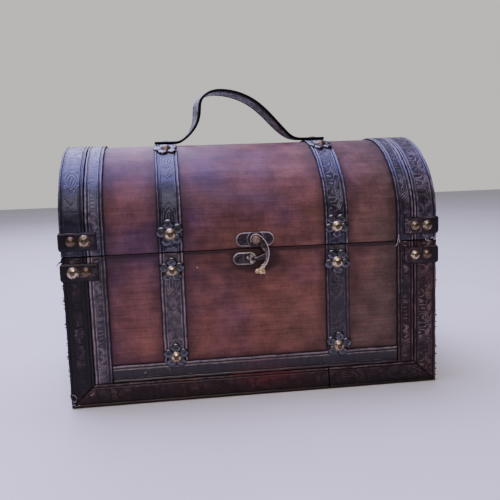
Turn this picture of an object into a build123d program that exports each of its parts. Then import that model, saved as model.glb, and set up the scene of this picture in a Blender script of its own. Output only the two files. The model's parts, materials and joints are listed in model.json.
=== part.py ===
"""Small dome-lidded wooden box with leather bands, a swing-hook latch and a strap handle.

Millimetres, +Z up, +X to the right of the front face, front towards -Y.
The origin is the middle of the underside, where the box stands.
"""
import os
from math import asin, atan2, cos, degrees, sin

from build123d import *

# Lower half, in boards
BOX_LENGTH = 336.0       # wood, left to right
BOX_DEPTH = 180.0        # wood, front to back
SEAM_HEIGHT = 136.0      # floor to the top edge of the lower half
WALL = 9.0               # front, back and end boards
FLOOR_BOARD = 5.0        # bottom board
RABBET = 4.0             # how far the boards step into each other

# Lid
SEAM_GAP = 0.6           # open line between the two halves
LID_STRAIGHT = 22.0      # upright part of the lid before it curves
DOME_RISE = 73.0         # height of the curved part
SHOULDER_R = 60.0        # radius of the front and back shoulders
SKIN = 3.0               # bent sheet over the lid
LID_END = 9.0            # arched boards at the lid's ends
RAIL_THICK = 8.0         # strips along the lid's lower edges
RAIL_HEIGHT = 18.0

# Leather bands
LEATHER = 1.8
OUTER_BAND = 22.0        # width of the bands at the corners
INNER_BAND = 16.0        # width of the bands beside them
LOWER_BAND = 21.0        # top of the band along the floor
BAND_LIFT = 0.5          # bands trimmed clear of the floor
UPPER_BAND = 16.0        # height of the band above it
STRAP_WIDTH = 21.5
STRAP_INSET = 56.8       # middle of each strap from the edge of the inner band
END_ARCH = 20.0          # width of the arched band on the lid's ends

# Leather patches round the corners
PATCH = 1.6              # thickness
PATCH_FRONT = 33.0       # length along the front and back
PATCH_SIDE = 18.0        # length along the ends
PATCH_HEIGHT = 16.5
PATCH_RISE = 5.0         # from the seam to the nearer edge of a patch

# Domed nails and flower washers
NAIL_R = 5.2
NAIL_DOME = 3.0
NAIL_SHANK_R = 0.9
NAIL_SHANK = 5.0
PATCH_NAIL_INSET = 9.6   # first nail from the corner of the bands
PATCH_NAIL_STEP = 11.4   # second nail from the first
FLOWER_PLATE = 0.8
PETAL_R = 4.8
PETAL_RING = 7.6         # petal centres from the middle
PETAL_DOME = 1.5
PETALS = 5
FLOWER_LID = 17.0        # flower above the seam on the lid
FLOWER_BODY = 15.0       # flower below the seam on the lower half
FLOWER_FOOT = 5.7        # flower above the strap's lower end
FLOWER_TOP = 35.0        # flower in front of and behind the crown

# Strap handle
HANDLE_WIDTH = 16.0
HANDLE_THICK = 2.6
HANDLE_FOOT = 21.0       # flat end of the handle on each strap
HANDLE_LIFT = 50.0       # crown of the loop above the feet
HANDLE_LEAN = 3.6        # how far the back edge of the crown sags
HANDLE_TWIST = 6.2       # how far the back edge of the loop swings left
HANDLE_LOOP = (          # shares of the span, of the lift and of the twist along the slumped loop
    (-0.82, 0.11, 0.2), (-0.69, 0.29, 0.6), (-0.61, 0.56, 1.0), (-0.58, 0.81, 1.0),
    (-0.44, 0.97, 1.0), (-0.23, 1.0, 1.0), (0.02, 0.93, 1.0), (0.265, 0.765, 1.0),
    (0.515, 0.465, 1.0), (0.715, 0.175, 0.9), (0.85, 0.03, 0.5),
)
HANDLE_STEPS = 28        # places along the loop where its thickness is set off
TACK_R = 4.0
TACK_HEAD = 0.9
TACK_SHANK = 5.0

# Latch
PLATE_THICK = 1.2
PLATE_RIM = 0.5          # height of the raised rim
PLATE_RIM_WIDTH = 0.9
UPPER_PLATE_LENGTH = 34.5
UPPER_PLATE_HEIGHT = 12.6
UPPER_PLATE_RISE = 1.6   # its lower edge above the lid's edge
LOWER_PLATE_LENGTH = 21.0
LOWER_PLATE_HEIGHT = 11.2
LOWER_PLATE_DROP = 3.0   # its upper edge below the seam
LOWER_HOLE_INSET = 4.2   # its one pin hole from its left end
PLATE_HOLE_INSET = 5.0   # pin holes from the ends of the upper plate
PIN_R = 0.8
PIN_HEAD_R = 1.5
PIN_HEAD = 0.5
PIN_SHANK = 3.5
BOSS_R = 7.6             # wider than the plate is high, so its sides follow the plate's rim
BOSS = 1.2               # pivot boss above its plate
RIVET_R = 1.5
RIVET_HEAD_R = 3.8
RIVET_HEAD = 1.8
PIVOT_X = 0.5
RUN_CLEAR = 0.05         # radial clearance of a turning fit
HOOK_CLEAR = 0.15        # hook clear of the boss and of the rivet head
HOOK_THICK = 1.8
HOOK_EYE_R = 5.1
HOOK_REACH = 11.6        # outside of the arm from the pivot, sideways
HOOK_ARM = 4.4           # width of the arm
HOOK_DROP = 24.4         # end of the arm below the pivot
HOOK_CURL = 3.8          # how far the end of the arm curls back
TAIL_LENGTH = 7.0        # flared finger tail
TAIL_WIDTH = 9.2
TAIL_THICK = 3.2
TAIL_ROUND = 0.8         # rounding of its corners
KEEPER_X = -4.3          # middle of the keeper from the pivot
KEEPER_INSET = 4.4       # middle of the keeper from the right end of its plate
KEEPER_WIDTH = 3.8
KEEPER_HEIGHT = 7.8
KEEPER_PROUD = 4.8
KEEPER_SLOT = 3.0        # height of the slot
KEEPER_SLOT_DEPTH = 2.5
PRONG_TIP = 1.4          # height of the prong at its tip
PRONG_GAP = 0.4          # prong tip clear of the keeper, hook at rest
PRONG_ROOT_TOP = 5.2     # upper and lower end of its root, from the keeper's level
PRONG_ROOT_LOW = 2.0
PRONG_WAIST = 4.0        # from the tip to where it starts to widen

# Hinges at the back
HINGE_INSET = 2.8        # end of each hinge from the edge of the inner band
HINGE_LENGTH = 34.0
LEAF_HEIGHT = 17.0
LEAF_THICK = 1.2
BARREL_R = 2.6
BARREL_CLEAR = 0.3       # barrel clear of the wood and of the other leaf
KNUCKLE_END = 9.0        # length of an outer knuckle
KNUCKLE_GAP = 0.3
HINGE_PIN_R = 1.2
HINGE_PIN_HEAD = 0.8
HINGE_PIN_FLARE = 0.7    # pin head wider than the pin
STOP_ANGLE = 105.0       # lid stands open a little past upright
STOP_LENGTH = 2.6        # stop lug beyond the barrel
STOP_THICK = 1.0
STOP_CLEAR = 0.3
SCREW_R = 1.1
SCREW_HEAD_R = 2.3
SCREW_HEAD = 0.9
SCREW_SHANK = 7.0
SCREW_STEP = 20.0        # between the two screws of a leaf
SCREW_FROM_PIN = 10.5    # screws above or below the hinge pin

# Derived places
HALF_L = BOX_LENGTH / 2
HALF_D = BOX_DEPTH / 2
BAND_X = HALF_L + LEATHER
BAND_Y = HALF_D + LEATHER
LID_Z = SEAM_HEIGHT + SEAM_GAP
SPRING_Z = LID_Z + LID_STRAIGHT
CROWN_Z = SPRING_Z + DOME_RISE
SHOULDER_Y = HALF_D - SHOULDER_R
CROWN_R = (SHOULDER_Y ** 2 + DOME_RISE ** 2 - SHOULDER_R ** 2) / (2 * (DOME_RISE - SHOULDER_R))
CROWN_CENTRE_Z = CROWN_Z - CROWN_R
SHOULDER_SWEEP = atan2(SPRING_Z - CROWN_CENTRE_Z, SHOULDER_Y)
UPPER_BAND_Z = LOWER_BAND + UPPER_BAND
INNER_X = BAND_X - OUTER_BAND
FIELD_X = INNER_X - INNER_BAND
STRAP_X = FIELD_X - STRAP_INSET
HINGE_X = FIELD_X - HINGE_INSET - HINGE_LENGTH / 2
PIVOT_Z = LID_Z + UPPER_PLATE_RISE + UPPER_PLATE_HEIGHT / 2
KEEPER_Z = SEAM_HEIGHT - LOWER_PLATE_DROP - LOWER_PLATE_HEIGHT / 2
HOOK_Y = HALF_D + PLATE_THICK + BOSS + HOOK_CLEAR
RIVET_Y = HOOK_Y + HOOK_THICK + HOOK_CLEAR
AXIS_Y = HALF_D + BARREL_CLEAR + BARREL_R
AXIS_Z = SEAM_HEIGHT + SEAM_GAP / 2
FOOT_Z = CROWN_Z + LEATHER


def block(x0, x1, y0, y1, z0, z1):
    """Board between two faces along each axis."""
    middle = Pos((x0 + x1) / 2, (y0 + y1) / 2, (z0 + z1) / 2)
    return middle * Box(x1 - x0, y1 - y0, z1 - z0)


def front_plane(x, y, z):
    """Sketch plane that faces the front: across is +X, up is +Z."""
    return Plane((x, y, z), x_dir=(1, 0, 0), z_dir=(0, -1, 0))


def facing(x, z, proud, side):
    """Seat on the front (side -1) or back (side 1), with local +Z outwards."""
    return Location((x, side * proud, z), (-90 * side, 0, 0))


def on_crown(x, y, grow):
    """Seat on the crown of the lid, with local +Z outwards."""
    tilt = asin(y / CROWN_R)
    radius = CROWN_R + grow
    place = (x, radius * sin(tilt), CROWN_CENTRE_Z + radius * cos(tilt))
    return Location(place, (-degrees(tilt), 0, 0))


def lid_section(grow):
    """Outline of the lid seen from its end, grown outside the wood."""
    half = HALF_D + grow
    shoulder = SHOULDER_R + grow
    hip_y = SHOULDER_Y + shoulder * cos(SHOULDER_SWEEP)
    hip_z = SPRING_Z + shoulder * sin(SHOULDER_SWEEP)
    mid_y = SHOULDER_Y + shoulder * cos(SHOULDER_SWEEP / 2)
    mid_z = SPRING_Z + shoulder * sin(SHOULDER_SWEEP / 2)
    outline = [
        Line((-half, LID_Z), (half, LID_Z)),
        Line((half, LID_Z), (half, SPRING_Z)),
        ThreePointArc((half, SPRING_Z), (mid_y, mid_z), (hip_y, hip_z)),
        ThreePointArc((hip_y, hip_z), (0, CROWN_Z + grow), (-hip_y, hip_z)),
        ThreePointArc((-hip_y, hip_z), (-mid_y, mid_z), (-half, SPRING_Z)),
        Line((-half, SPRING_Z), (-half, LID_Z)),
    ]
    return Plane.YZ * make_face(outline)


def lid_slab(x0, x1, grow):
    """Solid with the lid's section between two places along X."""
    return Pos(x0, 0, 0) * extrude(lid_section(grow), amount=x1 - x0)


def lid_strip(x0, x1, inner, outer):
    """Arched sheet between two offsets of the lid's section."""
    return lid_slab(x0, x1, outer) - lid_slab(x0, x1, inner)


def long_board(side):
    """Front (-1) or back (1) board, rabbeted for the ends and the floor."""
    inner = HALF_D - WALL
    rabbet_y = inner + RABBET
    y0, y1 = sorted((side * inner, side * HALF_D))
    board = block(-HALF_L, HALF_L, y0, y1, 0, SEAM_HEIGHT)
    y0, y1 = sorted((side * inner, side * rabbet_y))
    for end in (-1, 1):
        x0, x1 = sorted((end * (HALF_L - WALL), end * HALF_L))
        board -= block(x0, x1, y0, y1, 0, SEAM_HEIGHT)
    return board - block(-HALF_L, HALF_L, y0, y1, 0, FLOOR_BOARD)


def end_board(end):
    """Left (-1) or right (1) board, set into the rabbets of the long boards."""
    reach = HALF_D - WALL + RABBET
    x0, x1 = sorted((end * (HALF_L - WALL), end * HALF_L))
    board = block(x0, x1, -reach, reach, 0, SEAM_HEIGHT)
    x0, x1 = sorted((end * (HALF_L - WALL), end * (HALF_L - WALL + RABBET)))
    return board - block(x0, x1, -reach, reach, 0, FLOOR_BOARD)


def floor_board():
    """Bottom board, held in the rabbets of the four walls."""
    reach_x = HALF_L - WALL + RABBET
    reach_y = HALF_D - WALL + RABBET
    return block(-reach_x, reach_x, -reach_y, reach_y, 0, FLOOR_BOARD)


def lid_rail(side):
    """Strip behind the skin along the lid's front (-1) or back (1) edge."""
    outer = HALF_D - SKIN
    y0, y1 = sorted((side * (outer - RAIL_THICK), side * outer))
    reach = HALF_L - LID_END
    return block(-reach, reach, y0, y1, LID_Z, LID_Z + RAIL_HEIGHT)


def face_band(points, side):
    """Flat leather piece on the front (-1) or back (1) from its X, Z corners."""
    outline = make_face(Polyline(*points, close=True))
    depth = BAND_Y if side < 0 else -HALF_D
    return extrude(front_plane(0, -depth, 0) * outline, amount=-LEATHER)


def corner_band(end, side):
    """Upright band at a corner, mitred into the band along the floor."""
    outer = end * BAND_X
    inner = end * INNER_X
    corners = [(outer, BAND_LIFT), (inner, LOWER_BAND), (inner, SEAM_HEIGHT), (outer, SEAM_HEIGHT)]
    return face_band(corners, side)


def inner_band(end, side):
    """Upright band beside the corner band, standing on the floor band."""
    outer = end * INNER_X
    inner = end * FIELD_X
    corners = [(outer, LOWER_BAND), (inner, LOWER_BAND), (inner, SEAM_HEIGHT), (outer, SEAM_HEIGHT)]
    return face_band(corners, side)


def lower_band(side):
    """Band along the floor with mitred ends."""
    low, high = BAND_LIFT, LOWER_BAND
    corners = [(-BAND_X, low), (BAND_X, low), (INNER_X, high), (-INNER_X, high)]
    return face_band(corners, side)


def upper_band(side):
    """Band above the floor band, between the inner upright bands."""
    low, high = LOWER_BAND, UPPER_BAND_Z
    corners = [(-FIELD_X, low), (FIELD_X, low), (FIELD_X, high), (-FIELD_X, high)]
    return face_band(corners, side)


def body_strap(end, side):
    """Strap from the seam down to the upper band."""
    x0 = end * STRAP_X - STRAP_WIDTH / 2
    x1 = x0 + STRAP_WIDTH
    low = UPPER_BAND_Z
    return face_band([(x0, low), (x1, low), (x1, SEAM_HEIGHT), (x0, SEAM_HEIGHT)], side)


def body_end_band(end):
    """Leather round three edges of an end: two uprights and the foot, in one piece."""
    x0, x1 = sorted((end * HALF_L, end * BAND_X))
    window = HALF_D - OUTER_BAND
    sheet = block(x0, x1, -HALF_D, HALF_D, BAND_LIFT, SEAM_HEIGHT)
    return sheet - block(x0, x1, -window, window, LOWER_BAND, SEAM_HEIGHT)


def lid_edge_band(end, start, width):
    """Band over the dome, from start towards the middle of the box."""
    x0, x1 = sorted((end * start, end * (start - width)))
    return lid_strip(x0, x1, 0, LEATHER)


def lid_strap(end):
    """Strap over the dome."""
    x0 = end * STRAP_X - STRAP_WIDTH / 2
    return lid_strip(x0, x0 + STRAP_WIDTH, 0, LEATHER)


def lid_end_arch(end):
    """Arched band on an end of the lid, under the edge of the outer band."""
    x0, x1 = sorted((end * HALF_L, end * BAND_X))
    return lid_strip(x0, x1, -END_ARCH, 0)


def corner_patch(end, side, z0):
    """Leather patch bent round a corner, over the bands."""
    outer_x = BAND_X + PATCH
    outer_y = BAND_Y + PATCH
    x0, x1 = sorted((end * outer_x, end * (outer_x - PATCH_FRONT)))
    y0, y1 = sorted((side * outer_y, side * BAND_Y))
    along = block(x0, x1, y0, y1, z0, z0 + PATCH_HEIGHT)
    x0, x1 = sorted((end * outer_x, end * BAND_X))
    y0, y1 = sorted((side * outer_y, side * (outer_y - PATCH_SIDE)))
    return along + block(x0, x1, y0, y1, z0, z0 + PATCH_HEIGHT)


def headed_pin(radius, dome, shank_r, shank):
    """Domed head on its seat at z = 0, with the shank below."""
    profile = make_face([
        Line((0, 0), (0, dome)),
        ThreePointArc((0, dome), dome_middle(radius, dome), (radius, 0)),
        Line((radius, 0), (0, 0)),
    ])
    head = revolve(Plane.XZ * profile, axis=Axis.Z)
    return head + Pos(0, 0, -shank / 2) * Cylinder(shank_r, shank)


def dome_middle(radius, dome):
    """Point half way along the arc of a domed head."""
    sphere = (radius ** 2 + dome ** 2) / (2 * dome)
    half = asin(radius / sphere) / 2
    return (sphere * sin(half), sphere * cos(half) - sphere + dome)


def flower():
    """Washer of five domed petals round a flat seat for the nail, back at z = 0."""
    sphere = (PETAL_R ** 2 + PETAL_DOME ** 2) / (2 * PETAL_DOME)
    cap_centre = FLOWER_PLATE + PETAL_DOME - sphere
    petal = Pos(PETAL_RING, 0, FLOWER_PLATE / 2) * Cylinder(PETAL_R, FLOWER_PLATE)
    above = Pos(PETAL_RING, 0, FLOWER_PLATE + PETAL_DOME / 2) * Cylinder(PETAL_R, PETAL_DOME)
    petal += above & Pos(PETAL_RING, 0, cap_centre) * Sphere(sphere)
    washer = Pos(0, 0, FLOWER_PLATE / 2) * Cylinder(PETAL_RING, FLOWER_PLATE)
    for step in range(PETALS):
        washer += Rot(0, 0, 90 + 360 * step / PETALS) * petal
    seat = Pos(0, 0, FLOWER_PLATE + PETAL_DOME / 2) * Cylinder(NAIL_R, PETAL_DOME)
    return washer - seat


def lid_flower_seats():
    """Where the flowers sit on the lid's straps."""
    seats = []
    for end in (-1, 1):
        x = end * STRAP_X
        seats += [facing(x, LID_Z + FLOWER_LID, BAND_Y, side) for side in (-1, 1)]
        seats += [on_crown(x, side * FLOWER_TOP, LEATHER) for side in (-1, 1)]
    return seats


def body_flower_seats():
    """Where the flowers sit on the straps of the lower half."""
    heights = (SEAM_HEIGHT - FLOWER_BODY, UPPER_BAND_Z + FLOWER_FOOT)
    ends = (-1, 1)
    return [facing(e * STRAP_X, z, BAND_Y, s) for e in ends for s in ends for z in heights]


def patch_nail_seats(z):
    """Two nails through each corner patch, at one height."""
    proud = BAND_Y + PATCH
    seats = []
    for end in (-1, 1):
        for side in (-1, 1):
            for step in (0, 1):
                x = end * (BAND_X - PATCH_NAIL_INSET - step * PATCH_NAIL_STEP)
                seats.append(facing(x, z, proud, side))
    return seats


def nails(flower_seats, patch_seats):
    """Domed nails in the flowers and in the corner patches."""
    nail = headed_pin(NAIL_R, NAIL_DOME, NAIL_SHANK_R, NAIL_SHANK)
    raised = [seat * Pos(0, 0, FLOWER_PLATE) for seat in flower_seats]
    return [seat * nail for seat in raised + patch_seats]


def level_spline(points):
    """Smooth curve through the points that leaves both ends level."""
    return Spline(*points, tangents=[(1, 0), (1, 0)], tangent_scalars=[1, 1])


def handle_line(side):
    """Middle line of the handle's loop at its front (-1) or back (1) edge, as X, Z."""
    foot = FOOT_Z + HANDLE_THICK / 2
    start = STRAP_X - HANDLE_FOOT / 2
    back = (side + 1) / 2
    points = [(-start, foot)]
    for across, up, swing in HANDLE_LOOP:
        lift = HANDLE_LIFT - back * HANDLE_LEAN
        points.append((across * start - back * swing * HANDLE_TWIST, foot + up * lift))
    points.append((start, foot))
    return level_spline(points)


def handle_section(side):
    """Edge-on outline of the handle, loop and flat feet, at its front (-1) or back (1) edge."""
    line = handle_line(side)
    end = STRAP_X + HANDLE_FOOT / 2
    curves = []
    for half in (HANDLE_THICK / 2, -HANDLE_THICK / 2):
        points = []
        for step in range(HANDLE_STEPS + 1):
            place = line @ (step / HANDLE_STEPS)
            along = line % (step / HANDLE_STEPS)
            points.append((place.X - half * along.Y, place.Y + half * along.X))
        curves.append(level_spline(points))
    outline = []
    for curve in curves:
        first, last = curve @ 0, curve @ 1
        outline += [Line((-end, first.Y), first), curve, Line(last, (end, last.Y))]
    outline += [Line(outline[0] @ 0, outline[3] @ 0), Line(outline[2] @ 1, outline[5] @ 1)]
    return make_face(outline)


def handle_strap():
    """Leather strap that stands up in a loop between its two flat feet."""
    edges = [front_plane(0, side * HANDLE_WIDTH / 2, 0) * handle_section(side) for side in (-1, 1)]
    return loft(edges, ruled=True)


def handle_tacks():
    """Flat-headed tacks through the handle's feet."""
    tack = headed_pin(TACK_R, TACK_HEAD, NAIL_SHANK_R, TACK_SHANK)
    return [Pos(end * STRAP_X, 0, FOOT_Z + HANDLE_THICK) * tack for end in (-1, 1)]


def latch_plate(length, height):
    """Rounded plate with a raised rim, back at z = 0, without its holes."""
    plate = extrude(SlotOverall(length, height), amount=PLATE_THICK + PLATE_RIM)
    rim = 2 * PLATE_RIM_WIDTH
    tray = Pos(0, 0, PLATE_THICK) * extrude(SlotOverall(length - rim, height - rim), amount=PLATE_RIM)
    return plate - tray


def upper_plate_holes():
    """Pin places on the latch plate of the lid."""
    reach = UPPER_PLATE_LENGTH / 2 - PLATE_HOLE_INSET
    return [Pos(-reach, 0, 0), Pos(reach, 0, 0)]


def lower_plate_holes():
    """Pin place on the latch plate of the lower half, beside the keeper."""
    return [Pos(LOWER_HOLE_INSET - LOWER_PLATE_LENGTH / 2, 0, 0)]


def drill(plate, places, radius, depth):
    """Plate with round holes through it."""
    for place in places:
        plate -= place * Pos(0, 0, depth / 2) * Cylinder(radius, depth)
    return plate


def upper_plate():
    """Latch plate on the lid, with the boss that the hook turns on."""
    plate = latch_plate(UPPER_PLATE_LENGTH, UPPER_PLATE_HEIGHT)
    height = PLATE_THICK + BOSS
    boss = Pos(PIVOT_X, 0, height / 2) * Cylinder(BOSS_R, height)
    plate += boss & extrude(SlotOverall(UPPER_PLATE_LENGTH, UPPER_PLATE_HEIGHT), amount=height)
    plate = drill(plate, upper_plate_holes(), PIN_R + RUN_CLEAR, PLATE_THICK)
    plate = drill(plate, [Pos(PIVOT_X, 0, 0)], RIVET_R + RUN_CLEAR, height)
    return facing(0, PIVOT_Z, HALF_D, -1) * plate


def lower_plate_x():
    """Middle of the plate on the lower half, with the keeper near its right end."""
    return PIVOT_X + KEEPER_X + KEEPER_INSET - LOWER_PLATE_LENGTH / 2


def lower_plate():
    """Latch plate on the lower half."""
    plate = latch_plate(LOWER_PLATE_LENGTH, LOWER_PLATE_HEIGHT)
    plate = drill(plate, lower_plate_holes(), PIN_R + RUN_CLEAR, PLATE_THICK)
    return facing(lower_plate_x(), KEEPER_Z, HALF_D, -1) * plate


def keeper():
    """Slotted post on the lower plate that takes the hook's prong from the right."""
    post = extrude(RectangleRounded(KEEPER_WIDTH, KEEPER_HEIGHT, KEEPER_WIDTH / 4), amount=KEEPER_PROUD)
    slot_x = (KEEPER_WIDTH - KEEPER_SLOT_DEPTH) / 2
    slot = Pos(slot_x, 0, KEEPER_PROUD / 2) * Box(KEEPER_SLOT_DEPTH, KEEPER_SLOT, KEEPER_PROUD)
    seat = facing(PIVOT_X + KEEPER_X, KEEPER_Z, HALF_D + PLATE_THICK, -1)
    return seat * (post - slot)


def latch_pins(x, z, holes):
    """Small round-headed pins that hold a latch plate."""
    pin = headed_pin(PIN_HEAD_R, PIN_HEAD, PIN_R, PIN_SHANK + PLATE_THICK)
    seat = facing(x, z, HALF_D + PLATE_THICK, -1)
    return [seat * place * pin for place in holes]


def latch_rivet():
    """Rivet through the boss and the hook."""
    head = headed_pin(RIVET_HEAD_R, RIVET_HEAD, RIVET_R, RIVET_Y - HALF_D)
    return facing(PIVOT_X, PIVOT_Z, RIVET_Y, -1) * head


def hook_arm():
    """Crescent arm of the hook, pivot at the origin."""
    drop = HOOK_DROP
    tail_x = HOOK_REACH - HOOK_CURL
    outer = ThreePointArc((HOOK_EYE_R * 0.64, HOOK_EYE_R * 0.77), (HOOK_REACH, -drop * 0.55), (tail_x, -drop))
    inner_mid = (HOOK_REACH - HOOK_ARM, -drop * 0.48)
    inner = ThreePointArc((tail_x - HOOK_ARM * 0.9, -drop), inner_mid, (0, -HOOK_EYE_R))
    foot = Line(outer @ 1, inner @ 0)
    top = Line(inner @ 1, outer @ 0)
    return make_face([outer, foot, inner, top])


def hook_prong():
    """Pointed prong from the arm to just short of the keeper."""
    tip_x = KEEPER_X + KEEPER_WIDTH / 2 + PRONG_GAP
    level = KEEPER_Z - PIVOT_Z
    half = PRONG_TIP / 2
    root_x = HOOK_REACH - HOOK_ARM / 2
    waist_x = tip_x + PRONG_WAIST
    waist_top = level + PRONG_ROOT_TOP / 3
    waist_low = level - PRONG_ROOT_LOW * 0.6
    upper = ThreePointArc((root_x, level + PRONG_ROOT_TOP), (waist_x, waist_top), (tip_x, level + half))
    lower = ThreePointArc((tip_x, level - half), (waist_x, waist_low), (root_x, level - PRONG_ROOT_LOW))
    return make_face([upper, Line(upper @ 1, lower @ 0), lower, Line(lower @ 1, upper @ 0)])


def hook_tail():
    """Finger tail at the end of the arm, flared to the left."""
    right = HOOK_REACH - HOOK_CURL
    low = -HOOK_DROP - TAIL_LENGTH
    shares = [
        (0.36, 1.25), (-0.02, 1.25), (0.09, 0.75), (0.23, 0.0),
        (0.86, 0.1), (1.06, 0.54), (0.93, 0.76), (0.52, 0.84),
    ]
    corners = [(right - across * TAIL_WIDTH, low + up * TAIL_LENGTH) for across, up in shares]
    flare = make_face(Polyline(*corners, close=True))
    return fillet(flare.vertices().sort_by(Axis.Y)[:5], TAIL_ROUND)


def latch_hook():
    """Swing hook on the rivet, as photographed: prong at the mouth of the keeper."""
    flat = extrude(Circle(HOOK_EYE_R) + hook_arm() + hook_prong(), amount=HOOK_THICK)
    tail = extrude(hook_tail(), amount=TAIL_THICK)
    bore = Pos(0, 0, HOOK_THICK / 2) * Cylinder(RIVET_R + RUN_CLEAR, HOOK_THICK)
    return facing(PIVOT_X, PIVOT_Z, HOOK_Y, -1) * (flat + tail - bore)


def knuckles(moving):
    """X ranges of the knuckles of one leaf, from the middle of the hinge."""
    half = HINGE_LENGTH / 2
    inner = half - KNUCKLE_END - KNUCKLE_GAP
    if moving:
        return [(-inner, inner)]
    return [(-half, KNUCKLE_END - half), (half - KNUCKLE_END, half)]


def hinge_leaf(x, up):
    """Leaf of a hinge: up is 1 on the lid and -1 on the lower half."""
    half = HINGE_LENGTH / 2
    near = BARREL_R + BARREL_CLEAR
    z0, z1 = sorted((AXIS_Z + up * near, AXIS_Z + up * LEAF_HEIGHT))
    leaf = block(x - half, x + half, HALF_D, HALF_D + LEAF_THICK, z0, z1)
    for x0, x1 in knuckles(up > 0):
        z0, z1 = sorted((AXIS_Z, AXIS_Z + up * near))
        leaf += block(x + x0, x + x1, HALF_D, HALF_D + LEAF_THICK, z0, z1)
        barrel = Location((x + (x0 + x1) / 2, AXIS_Y, AXIS_Z), (0, 90, 0))
        leaf += barrel * Cylinder(BARREL_R, x1 - x0)
        if up > 0:
            leaf += stop_lug(x, x1 - x0)
    axis = Location((x, AXIS_Y, AXIS_Z), (0, 90, 0))
    leaf -= axis * Cylinder(HINGE_PIN_R + RUN_CLEAR, HINGE_LENGTH)
    for seat in leaf_screw_seats(x, up):
        leaf -= seat * Pos(0, 0, -LEAF_THICK / 2) * Cylinder(SCREW_R + RUN_CLEAR, LEAF_THICK)
    return leaf


def stop_lug(x, width):
    """Lug on the lid's knuckle that meets the lower leaf when the lid is open."""
    face = HALF_D + LEAF_THICK + STOP_CLEAR
    z1 = AXIS_Z - HINGE_PIN_R - 2 * RUN_CLEAR
    z0 = AXIS_Z - BARREL_R - STOP_LENGTH
    lug = block(x - width / 2, x + width / 2, face, face + STOP_THICK, z0, z1)
    return lug.rotate(Axis((0, AXIS_Y, AXIS_Z), (1, 0, 0)), STOP_ANGLE)


def leaf_screw_seats(x, up):
    """Screw places on one leaf."""
    z = AXIS_Z + up * SCREW_FROM_PIN
    proud = HALF_D + LEAF_THICK
    return [facing(x + step * SCREW_STEP / 2, z, proud, 1) for step in (-1, 1)]


def hinge_pin(x):
    """Pin with a flared head at each end."""
    pin = Cylinder(HINGE_PIN_R, HINGE_LENGTH)
    for end in (-1, 1):
        z = end * (HINGE_LENGTH + HINGE_PIN_HEAD) / 2
        pin += Pos(0, 0, z) * Cylinder(HINGE_PIN_R + HINGE_PIN_FLARE, HINGE_PIN_HEAD)
    return Location((x, AXIS_Y, AXIS_Z), (0, 90, 0)) * pin


def hinge_screws(up):
    """Round-headed screws of both hinges on one half."""
    screw = headed_pin(SCREW_HEAD_R, SCREW_HEAD, SCREW_R, SCREW_SHANK)
    return [seat * screw for x in (-HINGE_X, HINGE_X) for seat in leaf_screw_seats(x, up)]


def group(shapes):
    """Separate solids kept in one node."""
    return Compound(children=[solid for shape in shapes for solid in shape.solids()])


def build_lower_half():
    """Boards, bands, straps and patches of the lower half."""
    sides = {"front": -1, "back": 1}
    ends = {"left": -1, "right": 1}
    nodes = {"body_bottom_board": floor_board()}
    for side_name, side in sides.items():
        nodes[f"body_{side_name}_board"] = long_board(side)
        nodes[f"body_{side_name}_lower_band"] = lower_band(side)
        nodes[f"body_{side_name}_upper_band"] = upper_band(side)
        for end_name, end in ends.items():
            nodes[f"body_{side_name}_{end_name}_corner_band"] = corner_band(end, side)
            nodes[f"body_{side_name}_{end_name}_inner_band"] = inner_band(end, side)
            nodes[f"body_{side_name}_{end_name}_strap"] = body_strap(end, side)
    for end_name, end in ends.items():
        nodes[f"body_{end_name}_board"] = end_board(end)
        nodes[f"body_{end_name}_end_band"] = body_end_band(end)
    patch_z = SEAM_HEIGHT - PATCH_RISE - PATCH_HEIGHT
    both = (-1, 1)
    nodes["body_corner_patches"] = group(corner_patch(e, s, patch_z) for e in both for s in both)
    seats = body_flower_seats()
    nodes["body_flowers"] = group(seat * flower() for seat in seats)
    nodes["body_nails"] = group(nails(seats, patch_nail_seats(patch_z + PATCH_HEIGHT / 2)))
    return nodes


def build_lid():
    """Skin, ends, rails, bands, straps, patches and handle of the lid."""
    nodes = {
        "lid_skin": lid_strip(-HALF_L, HALF_L, -SKIN, 0),
        "lid_left_end": lid_slab(-HALF_L, LID_END - HALF_L, -SKIN),
        "lid_right_end": lid_slab(HALF_L - LID_END, HALF_L, -SKIN),
        "lid_front_rail": lid_rail(-1),
        "lid_back_rail": lid_rail(1),
    }
    for end_name, end in {"left": -1, "right": 1}.items():
        nodes[f"lid_{end_name}_corner_band"] = lid_edge_band(end, BAND_X, OUTER_BAND)
        nodes[f"lid_{end_name}_inner_band"] = lid_edge_band(end, INNER_X, INNER_BAND)
        nodes[f"lid_{end_name}_strap"] = lid_strap(end)
        nodes[f"lid_{end_name}_end_arch"] = lid_end_arch(end)
    patch_z = LID_Z + PATCH_RISE
    both = (-1, 1)
    nodes["lid_corner_patches"] = group(corner_patch(e, s, patch_z) for e in both for s in both)
    seats = lid_flower_seats()
    nodes["lid_flowers"] = group(seat * flower() for seat in seats)
    nodes["lid_nails"] = group(nails(seats, patch_nail_seats(patch_z + PATCH_HEIGHT / 2)))
    nodes["handle_strap"] = handle_strap()
    nodes["handle_tacks"] = group(handle_tacks())
    return nodes


def build_hardware():
    """Latch at the front and hinges at the back."""
    spots = (-HINGE_X, HINGE_X)
    return {
        "latch_upper_plate": upper_plate(),
        "latch_lower_plate": lower_plate(),
        "latch_keeper": keeper(),
        "latch_lid_pins": group(latch_pins(0, PIVOT_Z, upper_plate_holes())),
        "latch_body_pins": group(latch_pins(lower_plate_x(), KEEPER_Z, lower_plate_holes())),
        "latch_rivet": latch_rivet(),
        "latch_hook": latch_hook(),
        "hinge_lid_leaves": group(hinge_leaf(x, 1) for x in spots),
        "hinge_body_leaves": group(hinge_leaf(x, -1) for x in spots),
        "hinge_pins": group(hinge_pin(x) for x in spots),
        "hinge_lid_screws": group(hinge_screws(1)),
        "hinge_body_screws": group(hinge_screws(-1)),
    }


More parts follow.
